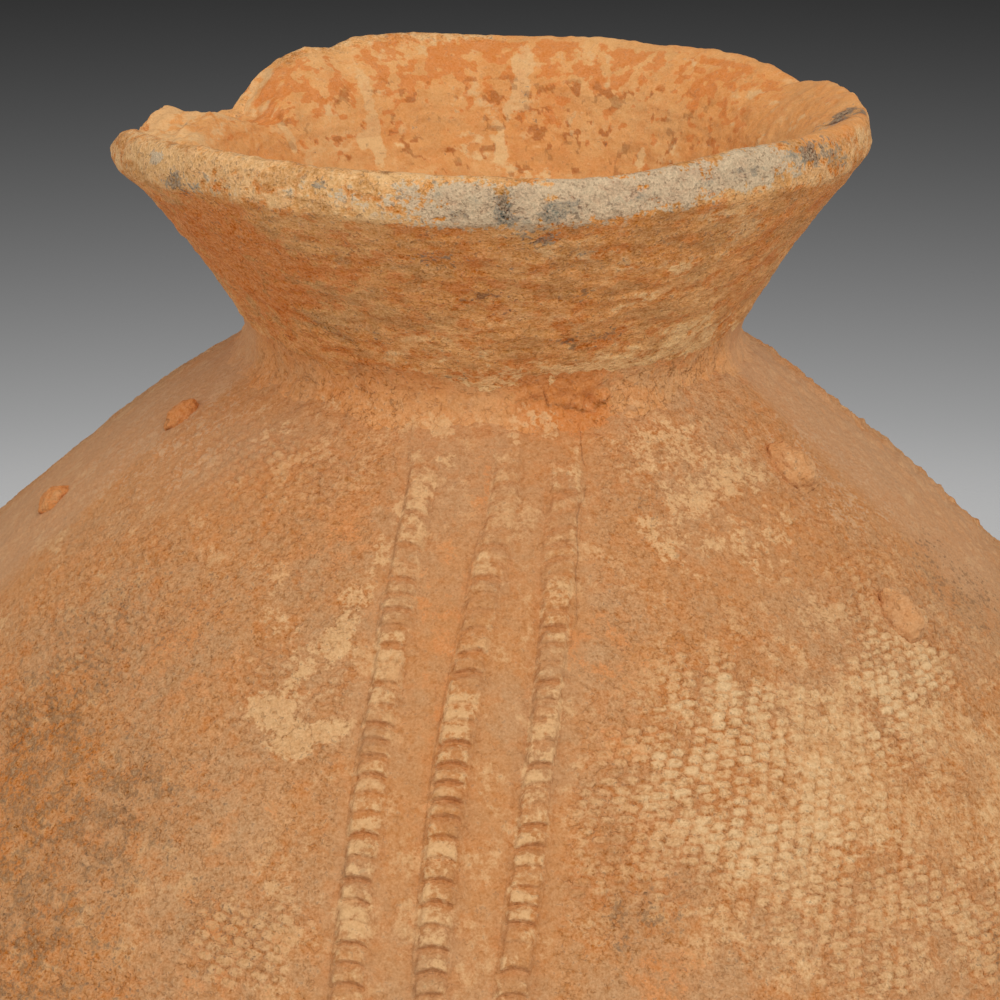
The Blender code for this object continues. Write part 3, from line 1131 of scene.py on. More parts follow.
@dataclass
class Body:
    """Base bowl and wall courses."""

    wall: Wall
    surface: ShoulderSkin
    courses: int = 8
    bowl_run: float = 0.135
    lap: float = 0.010
    lip: float = 0.004
    front: float = math.radians(76.0)
    overlap: float = 0.025
    crowding: float = 0.28
    front_columns: int = 690
    back_columns: int = 560
    plain_columns: int = 560
    fine_row: float = 0.62 * MM
    back_row: float = 0.95 * MM
    plain_row: float = 1.7 * MM
    fine_courses: int = 3
    lining_rows: int = 8
    bowl_rows: int = 72
    bowl_lining_rows: int = 14
    floor_rows: int = 20
    floor: float = 13.2 * MM
    floor_edge: float = 6 * MM
    floor_share: float = 0.96
    sole_soot: float = 0.3

    def build(self, potter: Potter) -> None:
        """Make every course and the bowl.

        Args:
            potter: Maker of the pieces.
        """
        laps = np.linspace(self.wall.length - self.bowl_run, 0.0, self.courses + 1)
        spread = np.linspace(-1.0, 1.0, self.front_columns + 1)
        near = self.front * ((1.0 - self.crowding) * spread + self.crowding * spread**3)
        side = self.front - self.overlap
        far = np.linspace(side, 2 * math.pi - side, self.back_columns + 1)
        whole = whole_turn(self.plain_columns)
        for number in range(1, self.courses + 1):
            name, top, bottom = f"body_course_{number}", float(laps[number]), float(laps[number - 1])
            if number > self.courses - self.fine_courses:
                self.course(potter, name, "_front", near, (top, bottom), self.fine_row)
                self.course(potter, name, "_back", far, (top, bottom), self.back_row, self.front)
            else:
                self.course(potter, name, "", whole, (top, bottom), self.plain_row)
        self.bowl(potter, whole, float(laps[0]))

    def course(
        self,
        potter: Potter,
        node: str,
        side: str,
        angles: Array,
        span: tuple[float, float],
        row: float,
        tuck: float = 0.0,
    ) -> None:
        """Make one ring of the wall, or one side of it.

        Args:
            potter: Maker of the pieces.
            node: Solid that the ring stands for.
            side: Ending of the piece's name.
            angles: Angles of the columns.
            span: Runs of the upper and lower edges.
            row: Distance between rows.
            tuck: Angle either side of the front within which it lies under its neighbour.
        """
        top, bottom = span
        outer = self.surface.skin(angles, np.linspace(top, bottom, round((bottom - top) / row) + 1), tuck)
        above = top + (self.lap if top > 0.0 else 0.0)
        inner = self.surface.lining(angles, np.linspace(bottom + self.lap, above, self.lining_rows))
        ring = outer.joined(self.ledge(angles, bottom)).joined(inner).joined(self.ledge(angles, top))
        potter.piece(node + side, ring.looped(), Finish.SHOULDER, "body_clay", (node,))

    def ledge(self, angles: Array, run: float) -> Skin:
        """Row just inside an edge, so that the edge is square to the wall before it slopes.

        Args:
            angles: Angles of the columns.
            run: Run of the edge.

        Returns:
            The row.
        """
        runs = np.full((1, len(angles)), run)
        deep = self.wall.points(angles[None], runs, np.full_like(runs, -self.lip))
        outward = (self.wall.points(angles[None], runs, np.zeros_like(runs)) - deep) / self.lip
        return Skin(deep, outward, {})

    def bowl(self, potter: Potter, angles: Array, top: float) -> None:
        """Make the bowl under the courses, closed by its flat base.

        Args:
            potter: Maker of the pieces.
            angles: Angles of the columns.
            top: Run of its upper edge.
        """
        end = self.wall.length
        outer = self.surface.skin(angles, np.linspace(top, end, self.bowl_rows))
        outer.points[..., 2] = np.maximum(outer.points[..., 2], 0.0)
        inner_runs = np.linspace(end - self.floor_edge, top + self.lap, self.bowl_lining_rows)
        inner = self.surface.lining(angles, inner_runs)
        shares = np.linspace(0.0, self.floor_share, self.floor_rows)[:, None, None]
        inside = inner.points[:1] * shares
        inside[..., 2] = self.floor + (inner.points[:1, :, 2] - self.floor) * shares[..., 0] ** 2
        upward = np.broadcast_to(np.array([0.0, 0.0, 1.0]), inside.shape)
        sole = outer.points[-1:] * shares[::-1] * np.array([1.0, 1.0, 0.0])
        dark_mask = {Stain.DARK: np.full(sole.shape[:2], self.sole_soot)}
        whole = Skin(inside, upward, {}).joined(inner).joined(outer).joined(Skin(sole, -upward, dark_mask))
        potter.piece("base_bowl", whole, Finish.BASE, "base_clay", ("base_bowl",))


@dataclass
class Neck:
    """Profile of the neck and lip above the body."""

    wall: Wall
    lip_radius: float = 0.1334
    rise: float = 0.0724
    bow: float = 0.0017
    lip_height: float = 0.0131
    lip_wall: float = 0.0155
    skirt: float = 0.0200

    @property
    def crest(self) -> float:
        """Height of the lip's crest."""
        return self.wall.neck_height + self.rise + self.lip_height

    @property
    def joint(self) -> float:
        """Share of the neck's rise at which the lip begins."""
        return 1.0 - self.skirt / self.rise

    def outer(self, share: Array) -> tuple[Array, Array]:
        """Trace the outside.

        Args:
            share: Places from the corner (0) to the lip's lower edge (1).

        Returns:
            Radius and height at each place.
        """
        start = self.wall.neck_radius
        radius = start + (self.lip_radius - start) * share - 4 * self.bow * share * (1 - share)
        return radius, self.wall.neck_height + self.rise * share

    def inner(self, share: Array) -> tuple[Array, Array]:
        """Trace the inside. The wall thickens towards the lip.

        Args:
            share: Places from the corner (0) to the lip's lower edge (1).

        Returns:
            Radius and height at each place.
        """
        radius, height = self.outer(share)
        before, after = self.outer(share - 0.01), self.outer(share + 0.01)
        along_r, along_z = after[0] - before[0], after[1] - before[1]
        length = np.hypot(along_r, along_z)
        thick = self.wall.thickness + (self.lip_wall - self.wall.thickness) * share
        return radius - thick * along_z / length, height + thick * along_r / length

    def points(self, angle: Array, radius: Array, height: Array) -> Array:
        """Places in space, round the neck's own axis."""
        return np.stack([radius * np.sin(angle) + self.wall.lean, -radius * np.cos(angle), height], -1)


@dataclass
class NeckAndLip:
    """Flared collar smoothed round by hand, and the thick lip on it, worn and broken."""

    neck: Neck
    columns: int = 800
    row: float = 0.86 * MM
    deep_row: float = 1.5 * MM
    deep_start: float = 40 * MM
    outer_shares: tuple[float, float] = (0.0, 0.975)
    inner_shares: tuple[float, float] = (-0.10, 0.50)
    outer_points: int = 16
    inner_points: int = 10
    roundings: int = 3
    crest_heights: tuple[tuple[float, float], ...] = (
        (-180, 0.8), (-162, 1.0), (-154, 0.7), (-150, -2.0), (-145, -0.2), (-141.5, -2.2), (-137, -7.8),
        (-133, -16.6), (-130.5, -22.6), (-126, -23.2), (-118, -18.4), (-112, -13.6), (-104, -17.4),
        (-97, -18.6), (-89, -17.8), (-80, -12.0), (-72, -4.4), (-49, 1.0), (-40, 1.9), (-14, 0.8), (7, 0.2),
        (21, 0.6), (36, 3.0), (60, 1.8), (84, -1.2), (96, -0.6), (107, -0.4), (114, -4.2), (118, -6.0),
        (121, -4.2), (125, -2.0), (134, -0.6), (162, 0.4), (180, 0.8),
    )  # fmt: skip
    lip_in: tuple[float, ...] = (31.4, 27.4, 22.2, 16.5, 11.5, 8.0, 5.4, 3.0, 1.2, 0.2, -0.2, 0.2)
    lip_down: tuple[float, ...] = (26.4, 17.6, 11.0, 6.0, 2.9, 1.0, 0.0, 0.5, 2.6, 6.4, 10.6, 13.6)
    edge_softness: float = 1.3 * MM
    wear_limit: float = 3.5 * MM
    combing: Lumps = Lumps(0.30, 3.4, 3, 41)
    comb_stretch: Triple = (0.2, 0.2, 1.0)
    comb_fade: Fade = (0.680, 0.668)
    swell: Lumps = Lumps(0.9, 46, 2, 42)
    dents: Lumps = Lumps(0.36, 10, 3, 43)
    crumbs: Lumps = Lumps(0.18, 2.6, 2, 44)
    fracture: Lumps = Lumps(0.4, 5, 3, 47)
    jagged: Lumps = Lumps(1.3, 9, 3, 64)
    band_bends: Lumps = Lumps(1.5, 16, 3, 49)
    band_heights: Fade = (-16 * MM, -13 * MM)
    flush_heights: Span = (-70 * MM, -40 * MM, -22 * MM, -14 * MM)
    foot_heights: Fade = (-56 * MM, -80 * MM)
    foot_angles: Fade = (-0.5, -0.1)
    edge_drop: float = 3.5 * MM
    edge_angles: Fade = (0.65, 0.95)
    pit_depth: float = 1.1 * MM
    pit_width: float = 5 * MM
    pit_level: float = 0.55
    grey: Patches = patches(
        (-5, -8, 28, 8, 0.7), (8, -8, 32, 9, 1.0), (24, -6, 36, 8, 1.0), (40, -5, 24, 7, 0.7),
        (-46, -11, 24, 5, 0.2), (-55, -5, 5, 3, 0.5), (-22, -7, 20, 4, 0.2), (80, 5, 16, 5, 0.4),
    )  # fmt: skip
    rusty: Patches = patches(
        (52, -7, 14, 5, 0.45), (62, -5, 10, 6, 0.35), (30, -15, 18, 4, 0.3), (-50, -40, 54, 36, 0.62),
        (-14, -34, 40, 24, 0.2), (60, -40, 40, 30, 0.2),
    )  # fmt: skip
    cracks: Patches = patches((80, 3.3, 16, 1.1, 1.0, 18), (-14.5, 0.5, 3, 1.2, 0.8))
    dark: Patches = patches(
        (83.5, 2.0, 13, 4.2, 1.0), (86.5, 9.0, 8, 3.0, 0.25), (3, -10, 30, 5, 0.5), (-2, -4, 18, 3, 0.35),
        (16, -7, 16, 3, 0.35), (34, -6, 18, 2.5, 0.4), (50, -4, 20, 5, 0.5), (58, -8, 14, 5, 0.35),
        (-46, -11, 24, 5, 0.36), (-24, -4, 7, 3, 0.4), (13, -42, 8, 4, 0.40), (7, -19, 12, 4, 0.35),
        (-2, -44, 22, 7, 0.30), (-9, -28, 16, 5, 0.22), (20, -60, 20, 6, 0.22), (-28, -58, 22, 9, 0.22),
    )  # fmt: skip
    pale: Patches = patches(
        (10, -24, 14, 4, 0.40), (16, -29, 16, 6, 0.45), (34, -34, 18, 8, 0.40), (23, -22, 10, 4, 0.35),
        (39, -24, 18, 5, 0.45), (33, -17, 22, 3, 0.40), (24, -48, 14, 8, 0.30), (24, -76, 26, 8, 0.40),
        (44, -66, 22, 10, 0.35), (-52, -6, 26, 6, 0.4), (-106, 10, 40, 16, 0.45),
        (-152.5, 28, 3.5, 26, 0.8), (174, 14, 5, 13, 0.8), (-130, 30, 3, 7, 0.7), (-150, 34, 4, 4, 0.9),
    )  # fmt: skip

    def section(self) -> tuple[Array, Array]:
        """Section of the neck from the foot of its inside over the lip to the foot of its outside.

        Returns:
            Radii and heights of the section's points.
        """
        neck = self.neck
        outer_r, outer_z = neck.outer(np.linspace(*self.outer_shares, self.outer_points))
        inner_r, inner_z = neck.inner(np.linspace(*self.inner_shares, self.inner_points))
        lip_r = neck.lip_radius - np.array(self.lip_in) * MM
        lip_z = neck.crest - np.array(self.lip_down) * MM
        radius = np.concatenate([inner_r, lip_r, outer_r[::-1]])
        height = np.concatenate([inner_z, lip_z, outer_z[::-1]])
        for _ in range(self.roundings):
            radius, height = self.rounded(radius), self.rounded(height)
        along = np.concatenate([[0.0], np.cumsum(np.hypot(np.diff(radius), np.diff(height)))])
        half = len(height) // 2
        deep = float(np.interp(neck.crest - self.deep_start, height[:half], along[:half]))
        low = np.linspace(0.0, deep, round(deep / self.deep_row) + 1)
        high = np.linspace(deep, along[-1], round((along[-1] - deep) / self.row) + 1)
        even = np.concatenate([low, high[1:]])
        return np.interp(even, along, radius), np.interp(even, along, height)

    @staticmethod
    def rounded(values: Array) -> Array:
        """Cut the corners of a line.

        Args:
            values: Radii or heights of its points.

        Returns:
            Radii or heights of the points of the smoother line.
        """
        first, second = values[:-1], values[1:]
        cut = np.stack([0.75 * first + 0.25 * second, 0.25 * first + 0.75 * second], 1)
        return np.concatenate([values[:1], cut.ravel(), values[-1:]])

    def broken(self, turn: Array, radius: Array, height: Array) -> tuple[Array, Array]:
        """Wear the lip down to its crest's heights, and break it where they are low.

        Args:
            turn: Angles round the neck, in radians.
            radius: Radii of the whole lip.
            height: Heights of the whole lip.

        Returns:
            Heights of the worn lip, and a mask of the broken faces.
        """
        neck, soft = self.neck, self.edge_softness
        angles, levels = np.array(self.crest_heights).T
        level = np.interp(np.degrees(turn), angles, levels) * MM
        rise = ease(height, neck.crest - neck.lip_height - neck.skirt, neck.crest - 4 * MM)
        worn = height + np.maximum(level, -self.wear_limit) * rise
        place = neck.points(turn, radius, height)
        limit = neck.crest + level + self.wear_limit * ease(level, -6 * MM, -3 * MM)
        limit = limit + self.jagged.at(place) * ease(level, -3 * MM, -8 * MM)
        gap = (worn - limit) / soft
        cut = limit - soft * np.log1p(np.exp(-np.clip(gap, -40.0, 40.0)))
        kept = np.where(gap > -8.0, cut, worn)
        return kept, ease(worn - kept, 0.8 * MM, 3 * MM)

    def build(self, potter: Potter) -> None:
        """Make the collar and the lip as two pieces of one surface.

        Args:
            potter: Maker of the pieces.
        """
        neck = self.neck
        section_r, section_z = self.section()
        radius, angle = padded_grid(section_r, whole_turn(self.columns))
        height = np.repeat(padded(section_z)[:, None], angle.shape[1], 1)
        turn = wrapped(angle)
        top = int(np.argmax(section_z)) + 1
        place = neck.points(turn, radius, height)
        height, broken = self.broken(turn, radius, height)
        bump, pits = self.relief(place, broken)
        profile_r, profile_z = np.gradient(padded(section_r)), np.gradient(padded(section_z))
        length = np.hypot(profile_r, profile_z)
        radius = radius - bump * (profile_z / length)[:, None]
        height = height + bump * (profile_r / length)[:, None]
        inside = (np.arange(angle.shape[0]) < top)[:, None]
        below = np.where(inside, neck.crest - place[..., 2], place[..., 2] - neck.crest)
        stains = self.stains(Spots(turn, radius, below, place), broken)
        # Painted shade in the sunken pits, laid into the dark mask.
        stains[Stain.DARK] = stains[Stain.DARK] + 0.8 * pits
        skin = Skin.from_padded(neck.points(angle, radius, height), stains)
        joint = float(neck.outer(np.array([neck.joint]))[1][0])
        rim_in = int(np.argmin(np.abs(section_z[:top] - joint)))
        rim_out = top + int(np.argmin(np.abs(section_z[top:] - joint)))
        rim = skin.rows(rim_in, rim_out).looped()
        collar = skin.rows(rim_out, len(section_z) - 1).joined(skin.rows(0, rim_in)).looped()
        potter.piece("neck_collar", collar, Finish.NECK, "neck_clay", ("neck_collar",))
        potter.piece("rim_band", rim, Finish.LIP, "lip_clay", ("rim_band",))

    def stains(self, spots: Spots, broken: Array) -> Stains:
        """Stain the neck and lip.

        Args:
            spots: Places, with heights against the lip's crest outside and depths under it inside.
            broken: Mask of the broken faces.

        Returns:
            Masks for the finish.
        """
        turn, below, place = spots.angle, spots.along, spots.place
        mottle = Grain.layers(place, 7 * MM, 2, 46)
        edge = -self.edge_drop * ease(turn, *self.edge_angles)
        # Pale on the lowest part of the neck, from the front round to the right: painted light that makes up
        # for the shade under the flared lip.
        foot = 0.5 * ease(below, *self.foot_heights) * ease(turn, *self.foot_angles)
        band = ease(below + self.band_bends.at(place), *self.band_heights)
        band = band * ease(below, edge + 2.5 * MM, edge)
        flush = 0.12 * between(below, *self.flush_heights)
        bent = replace(spots, along=below + 0.5 * MM * Grain.noise(place, 7 * MM, 48))
        grey = covered(self.grey, spots) * (1.0 - 0.5 * broken) * (1.0 - 0.5 * mottle)
        stains = {
            Stain.PALE: covered(self.pale, spots) + foot + 0.52 * band,
            Stain.DARK: covered(self.dark, spots) * (1.0 + 0.9 * mottle),
            Stain.GREY: grey,
            Stain.ORANGE: flush + covered(self.rusty, spots),
            Stain.CRACK: covered(self.cracks, bent),
        }
        far = ease(below, 0.5 * MM, 3 * MM)
        for stain, values in self.inside_stains(spots).items():
            stains[stain] = np.maximum(stains[stain] + values * far, 0.0)
        stains[Stain.SMOOTH] = np.maximum(ease(below, edge, edge + 4 * MM), broken)
        return stains

    @staticmethod
    def inside_stains(spots: Spots) -> Stains:
        """Stain the inside of the neck: rust-coloured flaking and pale drips.

        Args:
            spots: Places, with depths under the lip's crest.

        Returns:
            Masks for the finish.
        """
        below, place = spots.along, spots.place
        streaks = place * np.array([1.0, 1.0, 0.12])
        drips = np.maximum(Grain.layers(streaks, 6 * MM, 3, 51) - 0.25, 0.0)
        patchy = 0.35 * Grain.layers(place, 17 * MM, 3, 52) + 0.85 * Grain.layers(place, 3.6 * MM, 3, 54)
        back = 0.3 + 0.7 * ease(np.abs(spots.angle), 1.8, 2.4)
        rust = np.clip(0.68 - (below - 5 * MM) / (30 * MM) + patchy - 1.2 * drips, 0.0, 0.85)
        crumbs = ease(Grain.layers(place, 3.6 * MM, 3, 53), 0.45, 0.62) * ease(below, 8 * MM, 16 * MM)
        return {
            Stain.PALE: 0.6 * drips,
            Stain.ORANGE: (rust + 0.5 * crumbs) * back,
            Stain.CRACK: 0.56 * crumbs * back,
        }

    @classmethod
    def relief(cls, place: Array, broken: Array) -> tuple[Array, Array]:
        """Unevenness of the surface: smoothing marks, dents, pits and broken clay.

        Args:
            place: Places on the plain surface.
            broken: Mask of the broken faces.

        Returns:
            Heights above the plain surface, and a mask of the pits.
        """
        combed = ease(place[..., 2], *cls.comb_fade) * cls.combing.at(place * np.array(cls.comb_stretch))
        bump = combed + cls.swell.at(place) + cls.dents.at(place) + cls.crumbs.at(place)
        pits = np.maximum(Grain.noise(place, cls.pit_width, 45) - cls.pit_level, 0.0)
        return bump - cls.pit_depth * pits + broken * cls.fracture.at(place), pits


@dataclass
class NeckFillet:
    """Strip of clay luted into the corner under the neck."""

    neck: Neck
    surface: ShoulderSkin
    columns: int = 1100
    rows: int = 30
    leg: float = 14.0 * MM
    up_share: float = 0.83
    sink: float = 0.3 * MM
    back_depth: float = 1.5 * MM
    crack_depth: float = 0.7 * MM
    torn: Patches = patches((13, 6, 14, 12), (22, 6, 8, 12, 0.8), (46, 4, 10, 8, 0.5))

    def build(self, potter: Potter) -> None:
        """Make the strip.

        Args:
            potter: Maker of the pieces.
        """
        neck, wall = self.neck, self.neck.wall
        share, angle = padded_grid(np.linspace(0.0, 1.0, self.rows), whole_turn(self.columns))
        turn, around = wrapped(angle), np.full_like(angle, wall.neck_radius)
        edge = neck.points(turn, around, np.full_like(turn, wall.neck_height))
        reach = self.leg * (1.0 + 0.30 * Grain.layers(edge, 24 * MM, 2, 71))
        up_r, up_z = neck.outer(reach / neck.rise * self.up_share)
        uneven, _ = NeckAndLip.relief(neck.points(turn, up_r, up_z), np.zeros_like(turn))
        high = neck.points(angle, up_r + uneven - self.sink, up_z)
        lift, stains = self.surface.relief(turn, reach * share)
        low = wall.points(angle, reach, lift - self.sink)
        corner = wall.points(angle, np.zeros_like(reach), np.zeros_like(reach))
        part = share[..., None]
        curve = (1 - part) ** 2 * high + 2 * part * (1 - part) * corner + part**2 * low
        out = np.stack([np.sin(angle), -np.cos(angle), np.full_like(angle, 0.25)], -1)
        torn = covered(self.torn, Spots(turn, around, reach * share, curve))
        lump = (1.2 + 0.8 * torn) * MM * Grain.layers(curve, 9 * MM, 3, 72)
        lump = lump + (0.45 + 0.45 * torn) * MM * Grain.layers(curve, 3 * MM, 2, 73)
        lump = lump * (0.3 + 0.7 * share) + 0.4 * MM
        vein = np.abs(Grain.layers(curve, 13 * MM, 3, 74))
        crack = 0.6 * torn * ease(vein, 0.10, 0.0) * ease(Grain.noise(curve, 9 * MM, 75), -0.3, 0.1)
        crack = np.maximum(crack, stains[Stain.CRACK])
        raised = 4 * share * (1 - share) * lump - crack * self.crack_depth
        stains[Stain.CRACK] = 0.7 * crack
        stains[Stain.ORANGE] = stains[Stain.ORANGE] + 0.12 + 0.30 * torn + 0.25 * (1.0 - share)
        stains[Stain.PALE] = stains[Stain.PALE] * 0.8 + 0.20 * share
        skin = Skin.from_padded(curve + out * raised[..., None], stains)
        back = np.stack([corner[1, 1:-1] - out[1, 1:-1] * self.back_depth, skin.points[0]])
        rear = Skin(back, np.stack([-out[0, 1:-1], skin.normals[0]]), {})
        potter.piece("neck_fillet", skin.joined(rear), Finish.FILLET, "fillet_clay", ("neck_fillet",))


@dataclass
class NotchedRidge:
    """Strip of clay pressed on the shoulder and marked with a row of fingertip notches."""

    line: RidgeLine
    surface: ShoulderSkin
    seed: int
    height: float = 2.4 * MM
    pitch: float = 6.3 * MM
    notch: float = 1.9 * MM
    spacing: float = 0.36 * MM
    margin: float = 1.8 * MM
    overrun: float = 3.0 * MM
    depth: float = 3.0 * MM
    under_share: float = 0.7

    def build(self, potter: Potter) -> None:
        """Make the ridge.

        Args:
            potter: Maker of the pieces.
        """
        line, wall, half = self.line, self.surface.wall, self.surface.ridge_half
        reach = half + self.margin
        across = np.linspace(-reach, reach, round(2 * reach / self.spacing) + 1)
        first, last = line.start - self.overrun, line.end + self.overrun
        runs = np.linspace(first, last, round((last - first) / self.spacing) + 1)
        aside, run = padded_grid(across, runs)
        angle = (line.middle(run) + aside) / wall.radius(run)
        base, stains = self.surface.relief(angle, run)
        place = wall.points(angle, run, np.zeros_like(run))
        lift, pit = self.relief(aside / half, run, place)
        crown = ease(np.abs(aside), half, half * 0.75)
        fresh = Grain.layers(place, 12 * MM, 3, self.seed + 5)
        strip = {
            Stain.PALE: (0.20 + 0.20 * ease(run, 70 * MM, 190 * MM) + 0.30 * fresh) * (1.0 - 0.7 * pit),
            Stain.ORANGE: 0.05 + 0.05 * pit,
            # Painted shade in the notches.
            Stain.GROOVE_SHADE: 0.8 * pit,
            Stain.CELL: 0.25 * (1.0 - pit),
        }
        for stain, values in strip.items():
            stains[stain] = stains[stain] * (1.0 - crown) + values * crown
        skin = Skin.from_padded(wall.points(angle, run, base + lift), stains)
        skin.normals *= -1.0
        sides = []
        for side in (self.under_share, -self.under_share):
            edge = (line.middle(runs) + side * reach) / wall.radius(runs)
            sides.append(wall.points(edge, runs, np.full_like(runs, -self.depth)))
        under = Skin(np.stack(sides), -np.stack([skin.normals[-1], skin.normals[0]]), {})
        ring = skin.joined(under).looped()
        potter.piece(line.name, ring, Finish.RIDGE, "ridge_clay", (line.name,))

    def relief(self, aside: Array, run: Array, place: Array) -> tuple[Array, Array]:
        """Height of the strip above its bed.

        Args:
            aside: Distance from the middle line, in half widths.
            run: Runs down the clay.
            place: Places on the plain surface.

        Returns:
            Heights, and a mask of the notches.
        """
        start, end = self.line.start, self.line.end
        line = np.stack([run, 0 * run, 0 * run], -1)
        swell = 1.0 + 0.14 * Grain.noise(line, 21 * MM, self.seed + 1)
        share = np.abs(aside) / swell
        crown = ease(share, 1.06, 0.62)
        count = (run - start) / self.pitch + 0.28 * Grain.noise(line, 17 * MM, self.seed + 2)
        bent = count - 0.24 * aside**2 + 0.10 * aside * Grain.noise(line, 30 * MM, self.seed + 6)
        part = bent - np.floor(bent)
        pit = ease(part, 0.36, 0.50) * np.clip((1.02 - part) / 0.50, 0.0, 1.0) * ease(share, 0.95, 0.66)
        pressed = np.clip(0.74 + 0.40 * Grain.scatter([Grain.whole(bent)] * 3, self.seed + 3), 0.2, 1.1)
        kept = 0.60 + 0.40 * ease(run, 40 * MM, 120 * MM) + 0.15 * Grain.noise(line, 26 * MM, self.seed + 7)
        ends = between(run, start - 1 * MM, start + 12 * MM, end - 8 * MM, end + 1 * MM)
        lift = (self.height * swell * crown - self.notch * pressed * pit) * ends * kept
        lift = lift + Lumps(0.25, 5, 3, self.seed + 4).at(place) * np.minimum(crown * 2, 1.0)
        sunk = 0.5 * MM * ease(share, 1.02, 1.35)
        return lift + self.surface.ridge_bed * 0.9 * crown - sunk, pit * pressed


@dataclass
class Pellet:
    """Ball of clay pressed on the flank of the shoulder, at an angle in degrees and a run."""

    name: str
    angle: float
    run: float
    surface: ShoulderSkin
    seed: int
    half_width: float
    half_length: float
    height: float
    rust: float = 0.0
    depth: float = 2.5 * MM
    sink: float = 0.5 * MM

    def build(self, potter: Potter) -> None:
        """Make the pellet.

        Args:
            potter: Maker of the pieces.
        """
        wall = self.surface.wall
        ball = bmesh.new()
        bmesh.ops.create_icosphere(ball, subdivisions=5, radius=1.0)
        mesh = as_mesh(self.name, ball)
        place = vertex_places(mesh).astype(np.float64)
        aside, along, up = place.T
        uneven = 1.0 + 0.16 * Grain.layers(place, 0.8, 2, self.seed)
        uneven = uneven + 0.05 * Grain.layers(place, 0.25, 2, self.seed + 1)
        run = self.run + along * uneven * self.half_length
        across = aside * uneven * (0.86 + 0.20 * along) * self.half_width
        angle = math.radians(self.angle) + across / wall.radius(run)
        base, _ = self.surface.relief(angle, run)
        high = np.where(up > 0, np.abs(up) * self.height * uneven, up * self.depth)
        stains = {
            Stain.PALE: (0.14 - 0.14 * self.rust) * ease(up, 0.1, 0.7),
            Stain.ORANGE: self.rust + 0.2 * ease(up, 0.5, 0.0),
        }
        shape_mesh(mesh, wall.points(angle, run, base + high - self.sink), stains)
        potter.dress(self.name, mesh, Finish.PELLET, (self.name,))


@dataclass(frozen=True)
class Lamp:
    """A soft round lamp: where it hangs, its width and its power in watts."""

    name: str
    place: Triple
    size: float
    power: float


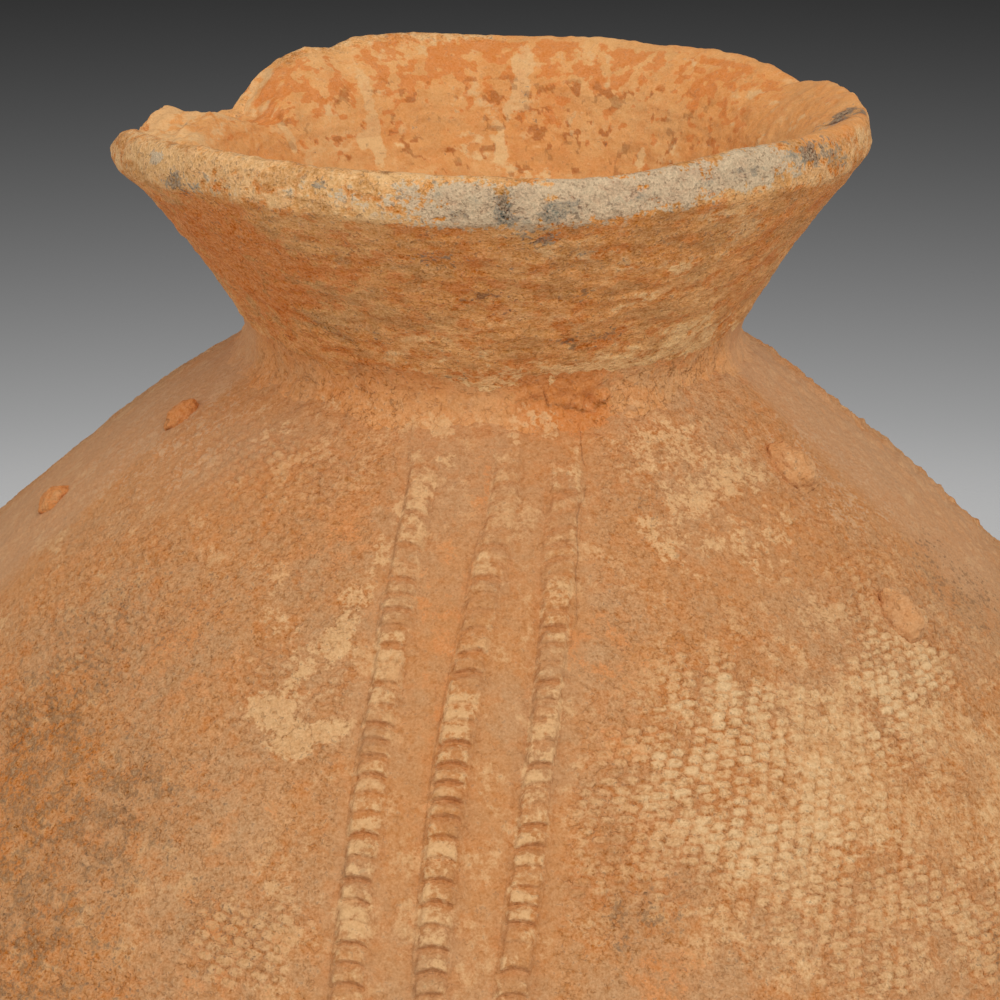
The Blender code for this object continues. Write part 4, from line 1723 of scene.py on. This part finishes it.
@dataclass
class Studio:
    """Floor, lights and camera."""

    crest: float
    image: float = 1000.0
    focal: float = 2500.0
    sensor: float = 36.0
    distance: float = 0.8747
    above_crest: float = 0.1709
    aside: float = 0.0060
    pitch: float = math.radians(20.23)
    floor_size: float = 3.6
    floor_colour: Colour = tone(206, 205, 203)
    floor_roughness: float = 0.95
    floor_gloss: float = 0.1
    lamps: tuple[Lamp, ...] = (
        Lamp("key", (0.9, -1.7, 2.3), 1.5, 35.6),
        Lamp("fill", (-1.9, -1.2, 1.5), 1.6, 11.8),
    )
    aim_height: float = 0.5
    world: float = 0.54
    backdrop_span: tuple[float, float] = (0.15, 0.375)
    backdrop_power: float = 3.3
    backdrop_gain: float = 15.0
    backdrop_dark: float = 0.003

    def build(self) -> None:
        """Set the studio round the jar."""
        self.floor()
        for lamp in self.lamps:
            self.hang(lamp)
        self.sky()
        self.camera()
        bpy.context.scene.view_settings.view_transform = "Standard"

    def floor(self) -> None:
        """Lay a plain pale floor that fades out into the backdrop."""
        sheet = bmesh.new()
        bmesh.ops.create_grid(sheet, x_segments=1, y_segments=1, size=self.floor_size / 2)
        mesh = as_mesh("floor", sheet)
        graph = Graph(bpy.data.materials.new("pale_floor"))
        far = graph.node("ShaderNodeVectorMath", {"operation": "LENGTH"}, {0: graph.place}, "Value")
        graph.shade("Alpha", far.ease(self.floor_size / 2, self.floor_size / 3))
        graph.shade("Base Color", self.floor_colour)
        graph.shade("Roughness", self.floor_roughness)
        graph.shade("Specular IOR Level", self.floor_gloss)
        mesh.materials.append(graph.owner)
        floor = add_object("floor", mesh)

    def hang(self, lamp: Lamp) -> None:
        """Hang a lamp so that it faces the jar.

        Args:
            lamp: The lamp.
        """
        light = bpy.data.lights.new(lamp.name, "AREA")
        light.shape = "DISK"
        light.size = lamp.size
        light.energy = lamp.power
        holder = add_object(lamp.name, light)
        holder.location = lamp.place
        aim = np.array([0.0, 0.0, self.aim_height]) - np.array(lamp.place)
        flat = math.hypot(aim[0], aim[1])
        holder.rotation_euler = (math.atan2(flat, -aim[2]), 0.0, math.atan2(-aim[0], aim[1]))

    def sky(self) -> None:
        """Give the room an even light, and show the camera a grey backdrop that darkens upwards."""
        graph = Graph(bpy.data.worlds.new("room"), "Background", "Generated")
        height = graph.node("ShaderNodeSeparateXYZ", {}, {0: graph.place}, "Z")
        low, high = self.backdrop_span
        drop = graph.node("ShaderNodeClamp", {}, {"Value": 0.0 - height, "Min": low, "Max": high})
        grey = drop**self.backdrop_power * self.backdrop_gain + self.backdrop_dark
        seen, mirrored, through = (
            graph.node("ShaderNodeLightPath", {}, {}, f"Is {kind} Ray")
            for kind in ("Camera", "Glossy", "Transmission")
        )
        even = (self.world, self.world, self.world, 1.0)
        graph.shade("Color", graph.mix(seen + mirrored + through, even, grey))
        bpy.context.scene.world = graph.owner

    def camera(self) -> None:
        """Set the camera above and in front of the mouth."""
        data = bpy.data.cameras.new("camera")
        data.sensor_fit = "HORIZONTAL"
        data.sensor_width = self.sensor
        data.lens = self.focal / self.image * self.sensor
        data.dof.use_dof = False
        camera = add_object("camera", data)
        camera.location = (self.aside, -self.distance, self.crest + self.above_crest)
        camera.rotation_euler = (math.pi / 2 - self.pitch, 0.0, 0.0)
        bpy.context.scene.camera = camera


def main() -> None:
    """Build the jar's visible pieces and the studio."""
    logging.basicConfig(level=logging.INFO, format="%(message)s")
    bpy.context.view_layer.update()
    wall = Wall()
    surface = ShoulderSkin(wall)
    neck = Neck(wall)
    potter = Potter()
    Studio(neck.crest).build()
    Body(wall, surface).build(potter)
    NeckAndLip(neck).build(potter)
    NeckFillet(neck, surface).build(potter)
    for line, seed in zip(RIDGES, RIDGE_SEEDS):
        NotchedRidge(line, surface, seed).build(potter)
    pellets = (
        Pellet("pellet_upper_left", -70.0, 36.0 * MM, surface, 121, 5.4 * MM, 7.6 * MM, 4.4 * MM, 0.75),
        Pellet("pellet_lower_left", -77.5, 90.5 * MM, surface, 123, 5.4 * MM, 7.2 * MM, 4.4 * MM, 0.6),
        Pellet("pellet_upper_right", 56.2, 50.0 * MM, surface, 125, 7.6 * MM, 11.0 * MM, 7.0 * MM),
        Pellet("pellet_lower_right", 53.2, 112.5 * MM, surface, 127, 7.2 * MM, 9.8 * MM, 7.0 * MM),
    )
    for pellet in pellets:
        pellet.build(potter)


if __name__ == "__main__":
    main()
